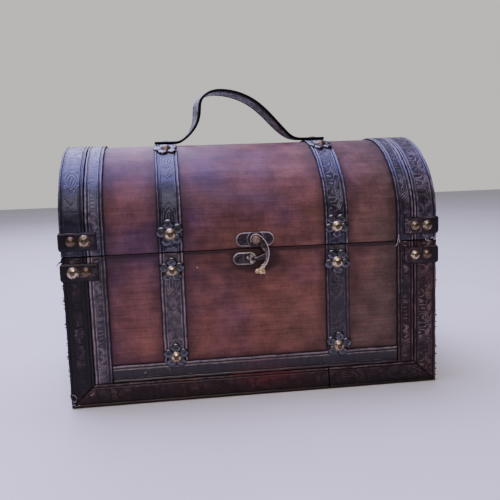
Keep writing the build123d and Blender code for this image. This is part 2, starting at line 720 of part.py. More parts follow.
def main():
    """Build every node and write one STEP file for each."""
    os.makedirs("parts", exist_ok=True)
    nodes = {**build_lower_half(), **build_lid(), **build_hardware()}
    for name, shape in nodes.items():
        export_step(shape, f"parts/{name}.step")
    print(len(nodes), "nodes")


main()
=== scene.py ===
"""Looks of a small dome-lidded wooden box with embossed leather, a swing hook and a strap handle.

Lengths are in millimetres until a mesh is made, and metres in Blender.
Front is -Y, right is +X, up is +Z, and the box stands on z = 0.
"""
from __future__ import annotations

import json
import logging
import math
from dataclasses import dataclass
from enum import Enum
from itertools import product
from typing import Any, Callable, Iterable, Sequence

import bmesh
import bpy
import numpy as np
from mathutils import Matrix, Vector

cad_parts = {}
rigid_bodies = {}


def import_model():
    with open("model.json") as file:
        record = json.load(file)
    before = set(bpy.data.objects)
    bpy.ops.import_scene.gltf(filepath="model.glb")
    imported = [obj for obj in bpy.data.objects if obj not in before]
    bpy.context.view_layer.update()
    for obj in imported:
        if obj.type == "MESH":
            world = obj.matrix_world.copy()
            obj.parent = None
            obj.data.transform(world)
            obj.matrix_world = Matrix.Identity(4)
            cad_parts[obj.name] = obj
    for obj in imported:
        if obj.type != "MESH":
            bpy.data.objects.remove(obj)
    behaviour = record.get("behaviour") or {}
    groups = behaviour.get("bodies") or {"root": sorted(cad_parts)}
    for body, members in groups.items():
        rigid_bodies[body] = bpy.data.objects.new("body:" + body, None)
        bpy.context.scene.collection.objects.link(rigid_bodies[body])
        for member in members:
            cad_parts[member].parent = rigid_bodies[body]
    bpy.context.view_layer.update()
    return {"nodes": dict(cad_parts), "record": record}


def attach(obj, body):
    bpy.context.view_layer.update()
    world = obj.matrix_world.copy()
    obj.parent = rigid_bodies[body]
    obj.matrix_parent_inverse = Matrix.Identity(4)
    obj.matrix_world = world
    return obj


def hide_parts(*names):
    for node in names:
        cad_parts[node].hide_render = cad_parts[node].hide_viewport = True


LOG = logging.getLogger("domed_box")
MM = 0.001
Array = np.ndarray
Triple = tuple[float, float, float]
Tree = bpy.types.NodeTree
Node = bpy.types.Node
Socket = bpy.types.NodeSocket
Material = bpy.types.Material
Object = bpy.types.Object


class Side(Enum):
    """Front or back of the box, as the sign of Y."""

    FRONT = -1
    BACK = 1


class End(Enum):
    """Left or right of the box, as the sign of X."""

    LEFT = -1
    RIGHT = 1


class Grain(Enum):
    """Which way the grain of a board runs."""

    ALONG_X = "x"
    ALONG_Y = "y"


class Motif(Enum):
    """What is stamped along the middle of a leather band."""

    SCROLL = "scroll"
    FLAME = "flame"
    CHEVRON = "chevron"
    FAN = "fan"


@dataclass(frozen=True)
class BoxSizes:
    """Sizes that the leather and fittings share with the solids, in millimetres."""

    half_length: float = 168.0
    half_depth: float = 90.0
    seam: float = 136.0
    lid_low: float = 136.6
    straight: float = 22.0
    rise: float = 73.0
    shoulder: float = 60.0
    leather: float = 1.8
    patch: float = 1.6
    corner_band: float = 22.0
    inner_band: float = 16.0
    lower_top: float = 21.0
    lift: float = 0.5
    upper_top: float = 37.0
    strap_width: float = 21.5
    strap_x: float = 75.0
    end_arch: float = 20.0

    @property
    def band_x(self) -> float:
        """Outer face of the leather on the ends."""
        return self.half_length + self.leather

    @property
    def inner_x(self) -> float:
        """Line between corner band and inner band."""
        return self.band_x - self.corner_band

    @property
    def field_x(self) -> float:
        """Edge of the bare wood."""
        return self.inner_x - self.inner_band

    @property
    def spring(self) -> float:
        """Height where the lid starts to curve."""
        return self.lid_low + self.straight

    @property
    def crown_radius(self) -> float:
        """Radius of the top of the dome."""
        reach = self.half_depth - self.shoulder
        return (reach ** 2 + self.rise ** 2 - self.shoulder ** 2) / (2 * (self.rise - self.shoulder))

    @property
    def crown_z(self) -> float:
        """Top of the wood."""
        return self.spring + self.rise


SIZES = BoxSizes()


def linear(hex_colour: str) -> tuple[float, float, float, float]:
    """Turn an sRGB hex colour into linear values.

    Args:
        hex_colour: Six hex digits after a hash.

    Returns:
        Linear red, green and blue with an alpha of 1.
    """
    parts = [int(hex_colour[i:i + 2], 16) / 255 for i in (1, 3, 5)]
    red, green, blue = (c / 12.92 if c <= 0.04045 else ((c + 0.055) / 1.055) ** 2.4 for c in parts)
    return red, green, blue, 1.0


def feed(tree: Tree, node: Node, inputs: dict[Any, Any]) -> None:
    """Set or link inputs of a node.

    Args:
        tree: Node tree that holds the node.
        node: Node that gets the values.
        inputs: Input name or index to a value or to the socket that feeds it.
    """
    for key, value in inputs.items():
        if isinstance(value, Socket):
            tree.links.new(value, node.inputs[key])
        else:
            node.inputs[key].default_value = value


def add(tree: Tree, kind: str, inputs: dict[Any, Any] | None = None, **settings: Any) -> Node:
    """Add a node, set it up and link it.

    Args:
        tree: Node tree that gets the node.
        kind: Type name of the node.
        inputs: Input name or index to a value or to the socket that feeds it.
        **settings: Properties of the node itself.

    Returns:
        The new node.
    """
    node = tree.nodes.new(kind)
    for name, value in settings.items():
        setattr(node, name, value)
    feed(tree, node, inputs or {})
    return node


def out(tree: Tree, kind: str, inputs: dict[Any, Any] | None = None, **settings: Any) -> Socket:
    """First output of a new node."""
    return add(tree, kind, inputs, **settings).outputs[0]


def ramp(tree: Tree, factor: Socket, stops: Sequence[tuple[float, str]]) -> Socket:
    """Colour ramp over a factor.

    Args:
        tree: Node tree of the material.
        factor: Socket that drives the ramp.
        stops: Position and sRGB hex colour of each stop.

    Returns:
        The colour socket.
    """
    node = add(tree, "ShaderNodeValToRGB", {"Fac": factor})
    elements = node.color_ramp.elements
    while len(elements) < len(stops):
        elements.new(0.5)
    for element, (place, colour) in zip(elements, stops):
        element.position = place
        element.color = linear(colour)
    return node.outputs["Color"]


def blend(
    tree: Tree, value: Socket, low: float, high: float | Socket, start: float, end: float,
) -> Socket:
    """Carry a value from one range to another, with soft ends.

    Args:
        tree: Node tree of the material.
        value: Socket to carry over.
        low: Value that gives the start.
        high: Value that gives the end.
        start: Result at the low value.
        end: Result at the high value.

    Returns:
        The result socket.
    """
    limits = {"Value": value, "From Min": low, "From Max": high, "To Min": start, "To Max": end}
    return add(tree, "ShaderNodeMapRange", limits, interpolation_type="SMOOTHSTEP").outputs["Result"]


def calc(tree: Tree, operation: str, *values: Any) -> Socket:
    """Result of one arithmetic step on values or sockets."""
    return add(tree, "ShaderNodeMath", dict(enumerate(values)), operation=operation).outputs[0]


def soft_noise(tree: Tree, coords: Socket, width: float, detail: float, rough: float = 0.5) -> Socket:
    """Noise about 0.5, with marks of a width in millimetres."""
    values = {"Vector": coords, "Scale": 1000 / width, "Detail": detail, "Roughness": rough}
    return out(tree, "ShaderNodeTexNoise", values)


def tint(tree: Tree, share: Socket, base: Socket, colour: Socket | str) -> Socket:
    """Base colour, carried towards a second colour by a share."""
    both = {0: share, 6: base, 7: linear(colour) if isinstance(colour, str) else colour}
    return add(tree, "ShaderNodeMix", both, data_type="RGBA").outputs[2]


def reach_of(tree: Tree, way: Socket) -> Socket:
    """Length of a vector."""
    return add(tree, "ShaderNodeVectorMath", {0: way}, operation="LENGTH").outputs["Value"]


def painted(tree: Tree, name: str) -> Socket:
    """Attribute that a mesh carries."""
    return add(tree, "ShaderNodeAttribute", attribute_name=name).outputs["Fac"]


def axes_of(tree: Tree, place: Socket) -> Any:
    """Sockets of the X, Y and Z of a place."""
    return add(tree, "ShaderNodeSeparateXYZ", {"Vector": place}).outputs


def new_material(name: str) -> tuple[Material, Tree, Node, Socket]:
    """Start a material with its principled shader.

    Args:
        name: Name of the real material.

    Returns:
        The material, its tree, its shader node and its object coordinates.
    """
    material = bpy.data.materials.new(name)
    material.use_nodes = True
    tree = material.node_tree
    coords = add(tree, "ShaderNodeTexCoord").outputs["Object"]
    return material, tree, tree.nodes["Principled BSDF"], coords


@dataclass(frozen=True)
class LatchShadow:
    """Painted shadow of the latch on the wood, round or long: middle, squeeze of each axis, slope of its edge
    and size of its dark part.
    """

    middle: Triple
    squeeze: Triple
    slope: float
    size: float


@dataclass(frozen=True)
class StainedWood:
    """Mahogany-stained softwood under thin lacquer.

    The brushed-on colour gives hairlines along the grain and clouds from red-brown to plum; its plum on the
    lid and at the left and its umber at the right are partly painted sheen and painted shade.
    It stands in a dark band along the leather and under the seam, partly stained darker where it pooled
    against the leather and partly painted shade, with painted shadows round the latch.
    """

    name: str
    along: Grain
    brown: str = "#7e5148"
    plum: str = "#573d50"
    umber: str = "#5c4c46"
    # colour of the dark band along the leather: partly stained wood, partly painted shade
    tide_and_shade: str = "#19151a"
    grain_mm: float = 1.05
    streak_mm: float = 28.0
    cross_mm: float = 6.5
    fleck_mm: float = 8.0
    cloud_mm: float = 70.0
    mottle_mm: float = 22.0
    tide_and_shade_mm: float = 2.6
    ragged_mm: float = 26.0
    seam_mm: float = 2.2
    corner_mm: float = 20.0
    # painted shadows of the latch: a halo round the lower plate and a long band between the plates
    latch_shadows: tuple[LatchShadow, ...] = (
        LatchShadow((0.0, -90.0, 127.0), (0.6, 0.2, 1.0), 0.33, 3.6),
        LatchShadow((-4.0, -90.0, 133.5), (0.26, 0.2, 1.0), 0.9, 4.4),
    )
    roughness: float = 0.48
    specular: float = 0.22
    sheen: str = "#ffebe6"

    def build(self) -> Material:
        """Make the material."""
        material, tree, shader, coords = new_material(self.name)
        grain = self.fibres(tree, coords, self.streak_mm, self.grain_mm)
        streaks = self.fibres(tree, coords, 4 * self.streak_mm, 5 * self.grain_mm)
        brushed = self.fibres(tree, coords, 1.6 * self.grain_mm, self.cross_mm)
        flecks = self.fibres(tree, coords, self.fleck_mm, 1.1 * self.grain_mm)
        clouds = soft_noise(tree, coords, self.cloud_mm, 3.0)
        split = axes_of(tree, coords)
        # plum on the lid and browner low down: partly the stained colour and partly a painted cool sheen from
        # above
        lift = blend(tree, split["Z"], 0.07, 0.16, 0.05, -0.06)
        hue = calc(tree, "ADD", clouds, lift)
        # plum towards the left end: partly the stained colour and partly a painted cool sheen on the left
        slope = 1.3 if self.along is Grain.ALONG_X else 0.0
        hue = calc(tree, "MULTIPLY_ADD", split["X"], slope, hue)
        warm = ramp(tree, hue, [(0.28, self.plum), (0.58, self.brown)])
        # umber and darker towards the right end: partly the stained colour and partly painted shade
        drift = calc(tree, "MULTIPLY_ADD", clouds, 0.2, split["X"])
        dull = blend(tree, drift, 0.12, 0.25, 0.0, 0.85)
        colour = tint(tree, dull, warm, self.umber)
        patches = soft_noise(tree, coords, self.mottle_mm, 8.0, 0.66)
        shade = blend(tree, patches, 0.3, 0.7, 0.66, 1.19)
        for marks, *limits in ((grain, 0.28, 0.72, 0.79, 1.15), (streaks, 0.3, 0.7, 0.88, 1.1),
                               (brushed, 0.3, 0.7, 0.9, 1.07), (flecks, 0.59, 0.72, 1.0, 0.52)):
            shade = calc(tree, "MULTIPLY", shade, blend(tree, marks, *limits))
        toned = out(tree, "ShaderNodeVectorMath", {0: colour, "Scale": shade}, operation="SCALE")
        # darken along the leather, under the seam and round the latch: partly stained, partly painted shade
        # and painted shadow
        stained = tint(tree, self.edge_tide_and_shade(tree, coords), toned, self.tide_and_shade)
        rough = blend(tree, grain, 0.2, 0.8, self.roughness - 0.05, self.roughness + 0.1)
        bump = out(tree, "ShaderNodeBump", {"Height": grain, "Strength": 0.16, "Distance": 0.0003})
        looks = {"Base Color": stained, "Roughness": rough, "Normal": bump}
        feed(tree, shader, looks | {"Specular IOR Level": self.specular, "Specular Tint": linear(self.sheen)})
        return material

    def fibres(self, tree: Tree, coords: Socket, along: float, across: float) -> Socket:
        """Noise drawn out along or across the grain.

        Args:
            tree: Node tree of the material.
            coords: Object coordinates.
            along: Length of a mark along the grain, in millimetres.
            across: Length of a mark across it.

        Returns:
            The noise, about 0.5 in the middle.
        """
        run, cut = 1000 / along, 1000 / across
        scale = (run, cut, cut) if self.along is Grain.ALONG_X else (cut, run, cut)
        drawn = out(tree, "ShaderNodeMapping", {"Vector": coords, "Scale": scale})
        noise = {"Vector": drawn, "Scale": 1.0, "Detail": 4.0, "Roughness": 0.65}
        return out(tree, "ShaderNodeTexNoise", noise)

    @staticmethod
    def strip_gap(tree: Tree, place: Socket, middle: float, half: float) -> Socket:
        """Distance to a pair of upright strips at both sides of the middle.

        Args:
            tree: Node tree of the material.
            place: Coordinate across the strips.
            middle: Place of the middle of a strip.
            half: Half its width.

        Returns:
            The distance, below 0 on a strip.
        """
        for size in (middle, half):
            place = calc(tree, "SUBTRACT", calc(tree, "ABSOLUTE", place), size * MM)
        return place

    @staticmethod
    def arch_ratio(tree: Tree, split: Any, inset: float) -> Socket:
        """Way from the middle of the box to an arch inside its outline.

        Args:
            tree: Node tree of the material.
            split: Outputs of the separated object coordinates.
            inset: Distance from the outline to the arch.

        Returns:
            The way, 0 in the middle and 1 on the arch.
        """
        above = calc(tree, "SUBTRACT", split["Z"], SIZES.spring * MM)
        above = calc(tree, "MAXIMUM", above, 0.0)
        above = calc(tree, "MULTIPLY", above, 1 / ((SIZES.rise - inset) * MM))
        beside = calc(tree, "MULTIPLY", split["Y"], 1 / ((SIZES.half_depth - inset) * MM))
        arch = out(tree, "ShaderNodeCombineXYZ", {"X": beside, "Y": above})
        return reach_of(tree, arch)

    def edges(self, tree: Tree, coords: Socket) -> list[Socket]:
        """Distances to the leather and the seam, and on a long side also to the painted shadows of the latch.

        Args:
            tree: Node tree of the material.
            coords: Object coordinates.

        Returns:
            One distance for each edge.
        """
        split = axes_of(tree, coords)
        on_end = self.along is Grain.ALONG_Y
        floor = SIZES.lower_top if on_end else SIZES.upper_top
        under = calc(tree, "SUBTRACT", (SIZES.seam - self.seam_mm) * MM, split["Z"])
        lid = calc(tree, "GREATER_THAN", split["Z"], (SIZES.lid_low - 0.1) * MM)
        gaps = [calc(tree, "SUBTRACT", split["Z"], floor * MM), calc(tree, "ADD", lid, under)]
        wide = self.corner_mm
        if on_end:
            edge = SIZES.half_depth - SIZES.corner_band
            gaps.append(self.strip_gap(tree, split["Y"], edge + wide, wide))
            rise = (SIZES.rise - SIZES.end_arch) * MM
            far = self.arch_ratio(tree, split, SIZES.end_arch)
            return gaps + [calc(tree, "MULTIPLY_ADD", far, -rise, rise)]
        gaps.append(self.strip_gap(tree, split["X"], SIZES.strap_x, SIZES.strap_width / 2))
        gaps.append(self.strip_gap(tree, split["X"], SIZES.field_x + wide, wide))
        # each painted shadow of the latch darkens the wood round its middle
        for stain_and_shade in self.latch_shadows:
            shift = tuple(-m * s * MM for m, s in zip(stain_and_shade.middle, stain_and_shade.squeeze))
            spot = {"Vector": coords, "Location": shift, "Scale": stain_and_shade.squeeze}
            far = reach_of(tree, out(tree, "ShaderNodeMapping", spot))
            gaps.append(calc(tree, "MULTIPLY_ADD", far, stain_and_shade.slope, -stain_and_shade.size * MM))
        return gaps

    def outside(self, tree: Tree, coords: Socket) -> Socket:
        """Tell the outer faces, which were stained with the leather on, from the inside of the box.

        Args:
            tree: Node tree of the material.
            coords: Object coordinates.

        Returns:
            A factor of 1 on the outer faces and 0 inside.
        """
        split = axes_of(tree, coords)
        if self.along is Grain.ALONG_X:
            return blend(tree, self.arch_ratio(tree, split, 0.0), 0.97, 0.982, 0.0, 1.0)
        reach = calc(tree, "ABSOLUTE", split["X"])
        return blend(tree, reach, (SIZES.half_length - 3.5) * MM, (SIZES.half_length - 1.0) * MM, 0.0, 1.0)

    def edge_tide_and_shade(self, tree: Tree, coords: Socket) -> Socket:
        """Darkening along the leather and under the seam, partly stained and partly painted shade, with
        painted shadows round the latch, on the outer faces only.

        Args:
            tree: Node tree of the material.
            coords: Object coordinates.

        Returns:
            A factor from 0 on clean wood to about 0.8 in the darkest band.
        """
        nearest, *others = self.edges(tree, coords)
        for gap in others:
            nearest = calc(tree, "MINIMUM", nearest, gap)
        # dark line with a ragged fringe: stained wood and painted shade together
        line = blend(tree, nearest, 0.0, self.tide_and_shade_mm * MM, 0.82, 0.0)
        ragged = soft_noise(tree, coords, self.ragged_mm, 3.0)
        reach = blend(tree, ragged, 0.3, 0.72, 2.0 * self.tide_and_shade_mm * MM, 8.0 * self.tide_and_shade_mm * MM)
        tide_and_shade = calc(tree, "MAXIMUM", line, blend(tree, nearest, 0.0, reach, 0.45, 0.0))
        return calc(tree, "MULTIPLY", tide_and_shade, self.outside(tree, coords))


@dataclass(frozen=True)
class EmbossedLeather:
    """Bonded leather, stamped under heat and waxed.

    The ground stays near black, raised lines are rubbed to grey, and thin wax lets a red-brown dye through.
    """

    name: str = "stamped_bonded_leather"
    ground: str = "#0b090d"
    face: str = "#2b232a"
    rubbed: str = "#7d7179"
    dyed_ground: str = "#190f09"
    dyed_face: str = "#3f2420"
    dyed_rubbed: str = "#8e6149"
    crimson: str = "#5c1d26"
    pore_mm: float = 0.7
    cloud_mm: float = 30.0
    rub_mm: float = 5.0
    roughness: float = 0.36
    specular: float = 0.5
    sheen: str = "#d0dcff"
    stain_shift: Triple = (-0.006, 0.046, -0.063)
    stain_squeeze: Triple = (1, 0.5, 3)

    def build(self) -> Material:
        """Make the material. It reads the tone and dye attributes of the leather meshes."""
        material, tree, shader, coords = new_material(self.name)
        tone, dyed = painted(tree, "tone"), painted(tree, "dye")
        worn = soft_noise(tree, coords, self.rub_mm, 4.0, 0.6)
        clouds = soft_noise(tree, coords, self.cloud_mm, 3.0)
        uneven = blend(tree, worn, 0.3, 0.7, 0.55, 1.35)
        level = calc(tree, "MULTIPLY", tone, uneven)
        skin = ramp(tree, level, [(0.0, self.ground), (0.3, self.face), (1.0, self.rubbed)])
        warm = ramp(tree, level, [(0.0, self.dyed_ground), (0.3, self.dyed_face), (1.0, self.dyed_rubbed)])
        show = calc(tree, "MULTIPLY", dyed, blend(tree, clouds, 0.32, 0.66, 0.35, 1.0))
        mixed = tint(tree, show, skin, warm)
        spot = {"Vector": coords, "Location": self.stain_shift, "Scale": self.stain_squeeze}
        far = reach_of(tree, out(tree, "ShaderNodeMapping", spot))
        near = calc(tree, "MULTIPLY", level, blend(tree, far, 0.008, 0.055, 1.6, 0.0))
        red = tint(tree, near, mixed, self.crimson)
        rough = blend(tree, worn, 0.25, 0.75, self.roughness - 0.08, self.roughness + 0.14)
        pores = out(tree, "ShaderNodeTexVoronoi", {"Vector": coords, "Scale": 1000 / self.pore_mm})
        bump = out(tree, "ShaderNodeBump", {"Height": pores, "Strength": 0.1, "Distance": 0.0002})
        looks = {"Base Color": red, "Roughness": rough, "Normal": bump}
        feed(tree, shader, looks | {"Specular IOR Level": self.specular, "Specular Tint": linear(self.sheen)})
        return material


@dataclass(frozen=True)
class AgedMetal:
    """Cast or stamped metal with a patina: bright where hands rub it, brown-black where they do not; on
    turned pieces the middle and the rim can be set darker or brighter, partly as patina and partly as painted
    reflection and painted highlight.
    """

    name: str
    bright: str
    patina: str
    roughness: float
    speck_mm: float = 3.0
    cover: float = 0.5
    metallic: float = 1.0
    own: float = 0.0
    core: float = 0.0
    rim: float = 0.0
    low: float = 0.0

    def build(self) -> Material:
        """Make the material. It may read the patina and reach attributes of turned pieces."""
        material, tree, shader, coords = new_material(self.name)
        specks = soft_noise(tree, coords, self.speck_mm, 5.0, 0.62)
        amount = specks
        if self.own:
            amount = calc(tree, "MULTIPLY_ADD", painted(tree, "patina"), self.own, amount)
        # darker middles and brighter rims: partly patina, partly a painted reflection of the dim room in
        # front and painted highlights on the rims
        if self.core or self.rim:
            reach = painted(tree, "reach")
            amount = calc(tree, "ADD", amount, blend(tree, reach, 0.1, 0.55, self.core, 0.0))
            amount = calc(tree, "ADD", amount, blend(tree, reach, 0.6, 0.92, 0.0, self.rim))
        if self.low:
            change = blend(tree, axes_of(tree, coords)["Z"], 0.119, 0.141, -self.low, self.low)
            amount = calc(tree, "ADD", amount, change)
        spread = [(max(0.0, self.cover - 0.18), self.bright), (min(1.0, self.cover + 0.22), self.patina)]
        rough = blend(tree, amount, 0.3, 0.8, self.roughness, self.roughness + 0.2)
        bump = out(tree, "ShaderNodeBump", {"Height": specks, "Strength": 0.18, "Distance": 0.0003})
        looks = {"Base Color": ramp(tree, amount, spread), "Metallic": self.metallic, "Roughness": rough}
        feed(tree, shader, looks | {"Normal": bump})
        return material


class Finishes:
    """Every material of the box."""

    def __init__(self) -> None:
        """Build all the materials once."""
        white = "#ffffff"
        handled_and_sheen = "stamped_bonded_leather_handled"
        self.wood_long = StainedWood("mahogany_stained_board", Grain.ALONG_X).build()
        self.wood_end = StainedWood("mahogany_stained_end_board", Grain.ALONG_Y).build()
        self.leather = EmbossedLeather().build()
        self.body_leather = EmbossedLeather(handled_and_sheen, specular=0.42, sheen=white).build()
        self.dull_leather = EmbossedLeather("unwaxed_black_leather", specular=0.2, sheen=white).build()
        self.strap_leather = EmbossedLeather(
            "black_bridle_leather", "#060607", "#202124", "#8f8d90", specular=0.14, sheen=white,
        ).build()
        # core darkens the middle of each nail: patina and a painted reflection of the dim room in front
        self.brass = AgedMetal(
            "antiqued_brass_nail", "#dcc7a6", "#625344", 0.2, 1.7, 0.6, own=0.45, core=1.0, rim=0.06,
        ).build()
        # darker petal middles and brighter petal rims: painted shade and painted highlight
        self.pewter = AgedMetal(
            "dark_pewter_stamping", "#6c6a6f", "#29272b", 0.27, 2.6, core=0.1, rim=-0.14,
        ).build()
        self.bronze = AgedMetal("antique_bronze_casting", "#5c5153", "#262226", 0.32, 2.2, 0.46).build()
        # foot of the plate rims: rubbed, and darker than their top as painted shade
        self.bronze_rim = AgedMetal(
            "dulled_bronze_rim", "#a3978f", "#625854", 0.32, 1.6, metallic=0.8,
        ).build()
        # rubbed edges of the hook, and the tops of the plate rims, which are brighter as a painted highlight
        self.bronze_edge = AgedMetal(
            "rubbed_bronze_edge", "#f0e6df", "#b3a59c", 0.28, 1.6, metallic=0.4,
        ).build()
        self.hook = AgedMetal(
            "handled_bronze_hook", "#98887c", "#2c2526", 0.3, 2.2, metallic=0.85, low=0.22,
        ).build()
        self.tail = AgedMetal(
            "handled_brass_tail", "#f0dcb4", "#9c7844", 0.26, 2.4, 0.48, metallic=0.7,
        ).build()
        self.keeper = AgedMetal(
            "worn_bronze_keeper", "#dccdbe", "#4a3c33", 0.26, 1.4, 0.46, metallic=0.8,
        ).build()
        self.rivet = AgedMetal("brown_bronze_rivet", "#9a7d67", "#6a5546", 0.5, 2.0, metallic=0.5).build()
        self.hinge = AgedMetal("dull_brass_plate", "#7c6543", "#3d3123", 0.4).build()
        self.hinge_edge = AgedMetal("rubbed_brass_edge", "#a88c5d", "#6c5534", 0.32, 2.0).build()
        self.thread = BackingThread().build()
        self.black = AgedMetal("blackened_steel_tack", "#3a3a3d", "#17171a", 0.4, 2.0).build()


def linked(name: str, data: Any) -> Object:
    """Make an object of a mesh, lamp or camera.

    Args:
        name: Name of the object.
        data: What it shows.

    Returns:
        The object, linked to the scene.
    """
    obj = bpy.data.objects.new(name, data)
    bpy.context.scene.collection.objects.link(obj)
    return obj


def plain(holder: Object, name: str) -> Object:
    """Turn an object with modifiers into a plain piece.

    Args:
        holder: The object, which is removed.
        name: Name of the piece.

    Returns:
        The piece, linked to the scene.
    """
    graph = bpy.context.evaluated_depsgraph_get()
    mesh = bpy.data.meshes.new_from_object(holder.evaluated_get(graph))
    holder.modifiers.clear()
    bpy.data.objects.remove(holder)
    mesh.name = name
    return linked(name, mesh)


def mesh_object(
    name: str, points: Array, faces: Sequence[Sequence[int]], material: Material, smooth: bool = True,
) -> Object:
    """Make a mesh object from points in millimetres.

    Args:
        name: Name of the piece.
        points: Vertex places, one row each.
        faces: Vertex numbers of each face.
        material: Finish of the piece.
        smooth: Whether faces are shaded smooth.

    Returns:
        The object, linked to the scene.
    """
    mesh = bpy.data.meshes.new(name)
    mesh.from_pydata((points * MM).tolist(), [], [list(map(int, f)) for f in faces])
    mesh.polygons.foreach_set("use_smooth", [smooth] * len(mesh.polygons))
    mesh.materials.append(material)
    mesh.update()
    return linked(name, mesh)


def dress(obj: Object, body: str, slot: str, *nodes: str) -> Object:
    """Let a piece ride on its body and stand for its solids.

    Args:
        obj: The finished piece.
        body: Body that carries it.
        slot: Material slot in the record; not used.
        *nodes: Solids that it replaces.

    Returns:
        The same piece.
    """
    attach(obj, body)
    if nodes:
        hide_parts(*nodes)
    LOG.info("%s rides on %s", obj.name, body)
    return obj


def wander(along: Array, seed: float, length: float) -> Array:
    """Slow irregular line with values from about -1 to 1.

    Args:
        along: Places in millimetres.
        seed: Sets one line apart from the next.
        length: Wavelength of its main bend.

    Returns:
        Values of the line.
    """
    turn = 2 * np.pi * along / length
    slow, quick = np.sin(turn + seed), np.sin(2.3 * turn + 1.7 * seed)
    return 0.55 * slow + 0.3 * quick + 0.15 * np.sin(5.1 * turn + 2.9 * seed)


@dataclass(frozen=True)
class LidSection:
    """Arched outline of the lid seen from its end."""

    sizes: BoxSizes = SIZES

    @property
    def sweep(self) -> float:
        """Angle of a shoulder arc."""
        drop = self.sizes.crown_radius - self.sizes.rise
        return math.atan2(drop, self.sizes.half_depth - self.sizes.shoulder)

    @property
    def stretches(self) -> Triple:
        """Lengths of an upright, a shoulder and the crown."""
        crown = self.sizes.crown_radius * (math.pi - 2 * self.sweep)
        return self.sizes.straight, self.sizes.shoulder * self.sweep, crown

    @property
    def length(self) -> float:
        """Length of the outline from the front edge to the back edge."""
        leg, hip, crown = self.stretches
        return 2 * leg + 2 * hip + crown

    def at(self, along: Array, grow: Array) -> tuple[Array, Array, Array]:
        """Places on the outline.

        Args:
            along: Distance from the front lower edge, on the wood.
            grow: Distance outside the wood.

        Returns:
            Y, Z and the angle of the outward normal, from -Y upwards.
        """
        size = self.sizes
        leg, hip, _ = self.stretches
        near = np.minimum(along, self.length - along)
        on_crown = near > leg + hip
        hip_angle = np.clip((near - leg) / size.shoulder, 0, self.sweep)
        crown_angle = self.sweep + np.clip((near - leg - hip) / size.crown_radius, 0, None)
        angle = np.where(on_crown, crown_angle, hip_angle)
        radius = np.where(on_crown, size.crown_radius, size.shoulder) + grow
        middle_y = np.where(on_crown, 0.0, size.shoulder - size.half_depth)
        middle_z = np.where(on_crown, size.crown_z - size.crown_radius, size.spring)
        y = middle_y - radius * np.cos(angle)
        z = middle_z + radius * np.sin(angle) - np.clip(leg - near, 0, None)
        back = along > self.length / 2
        return np.where(back, -y, y), z, np.where(back, math.pi - angle, angle)


NO_STROKE = 9.0  # distance that leaves a place unstamped


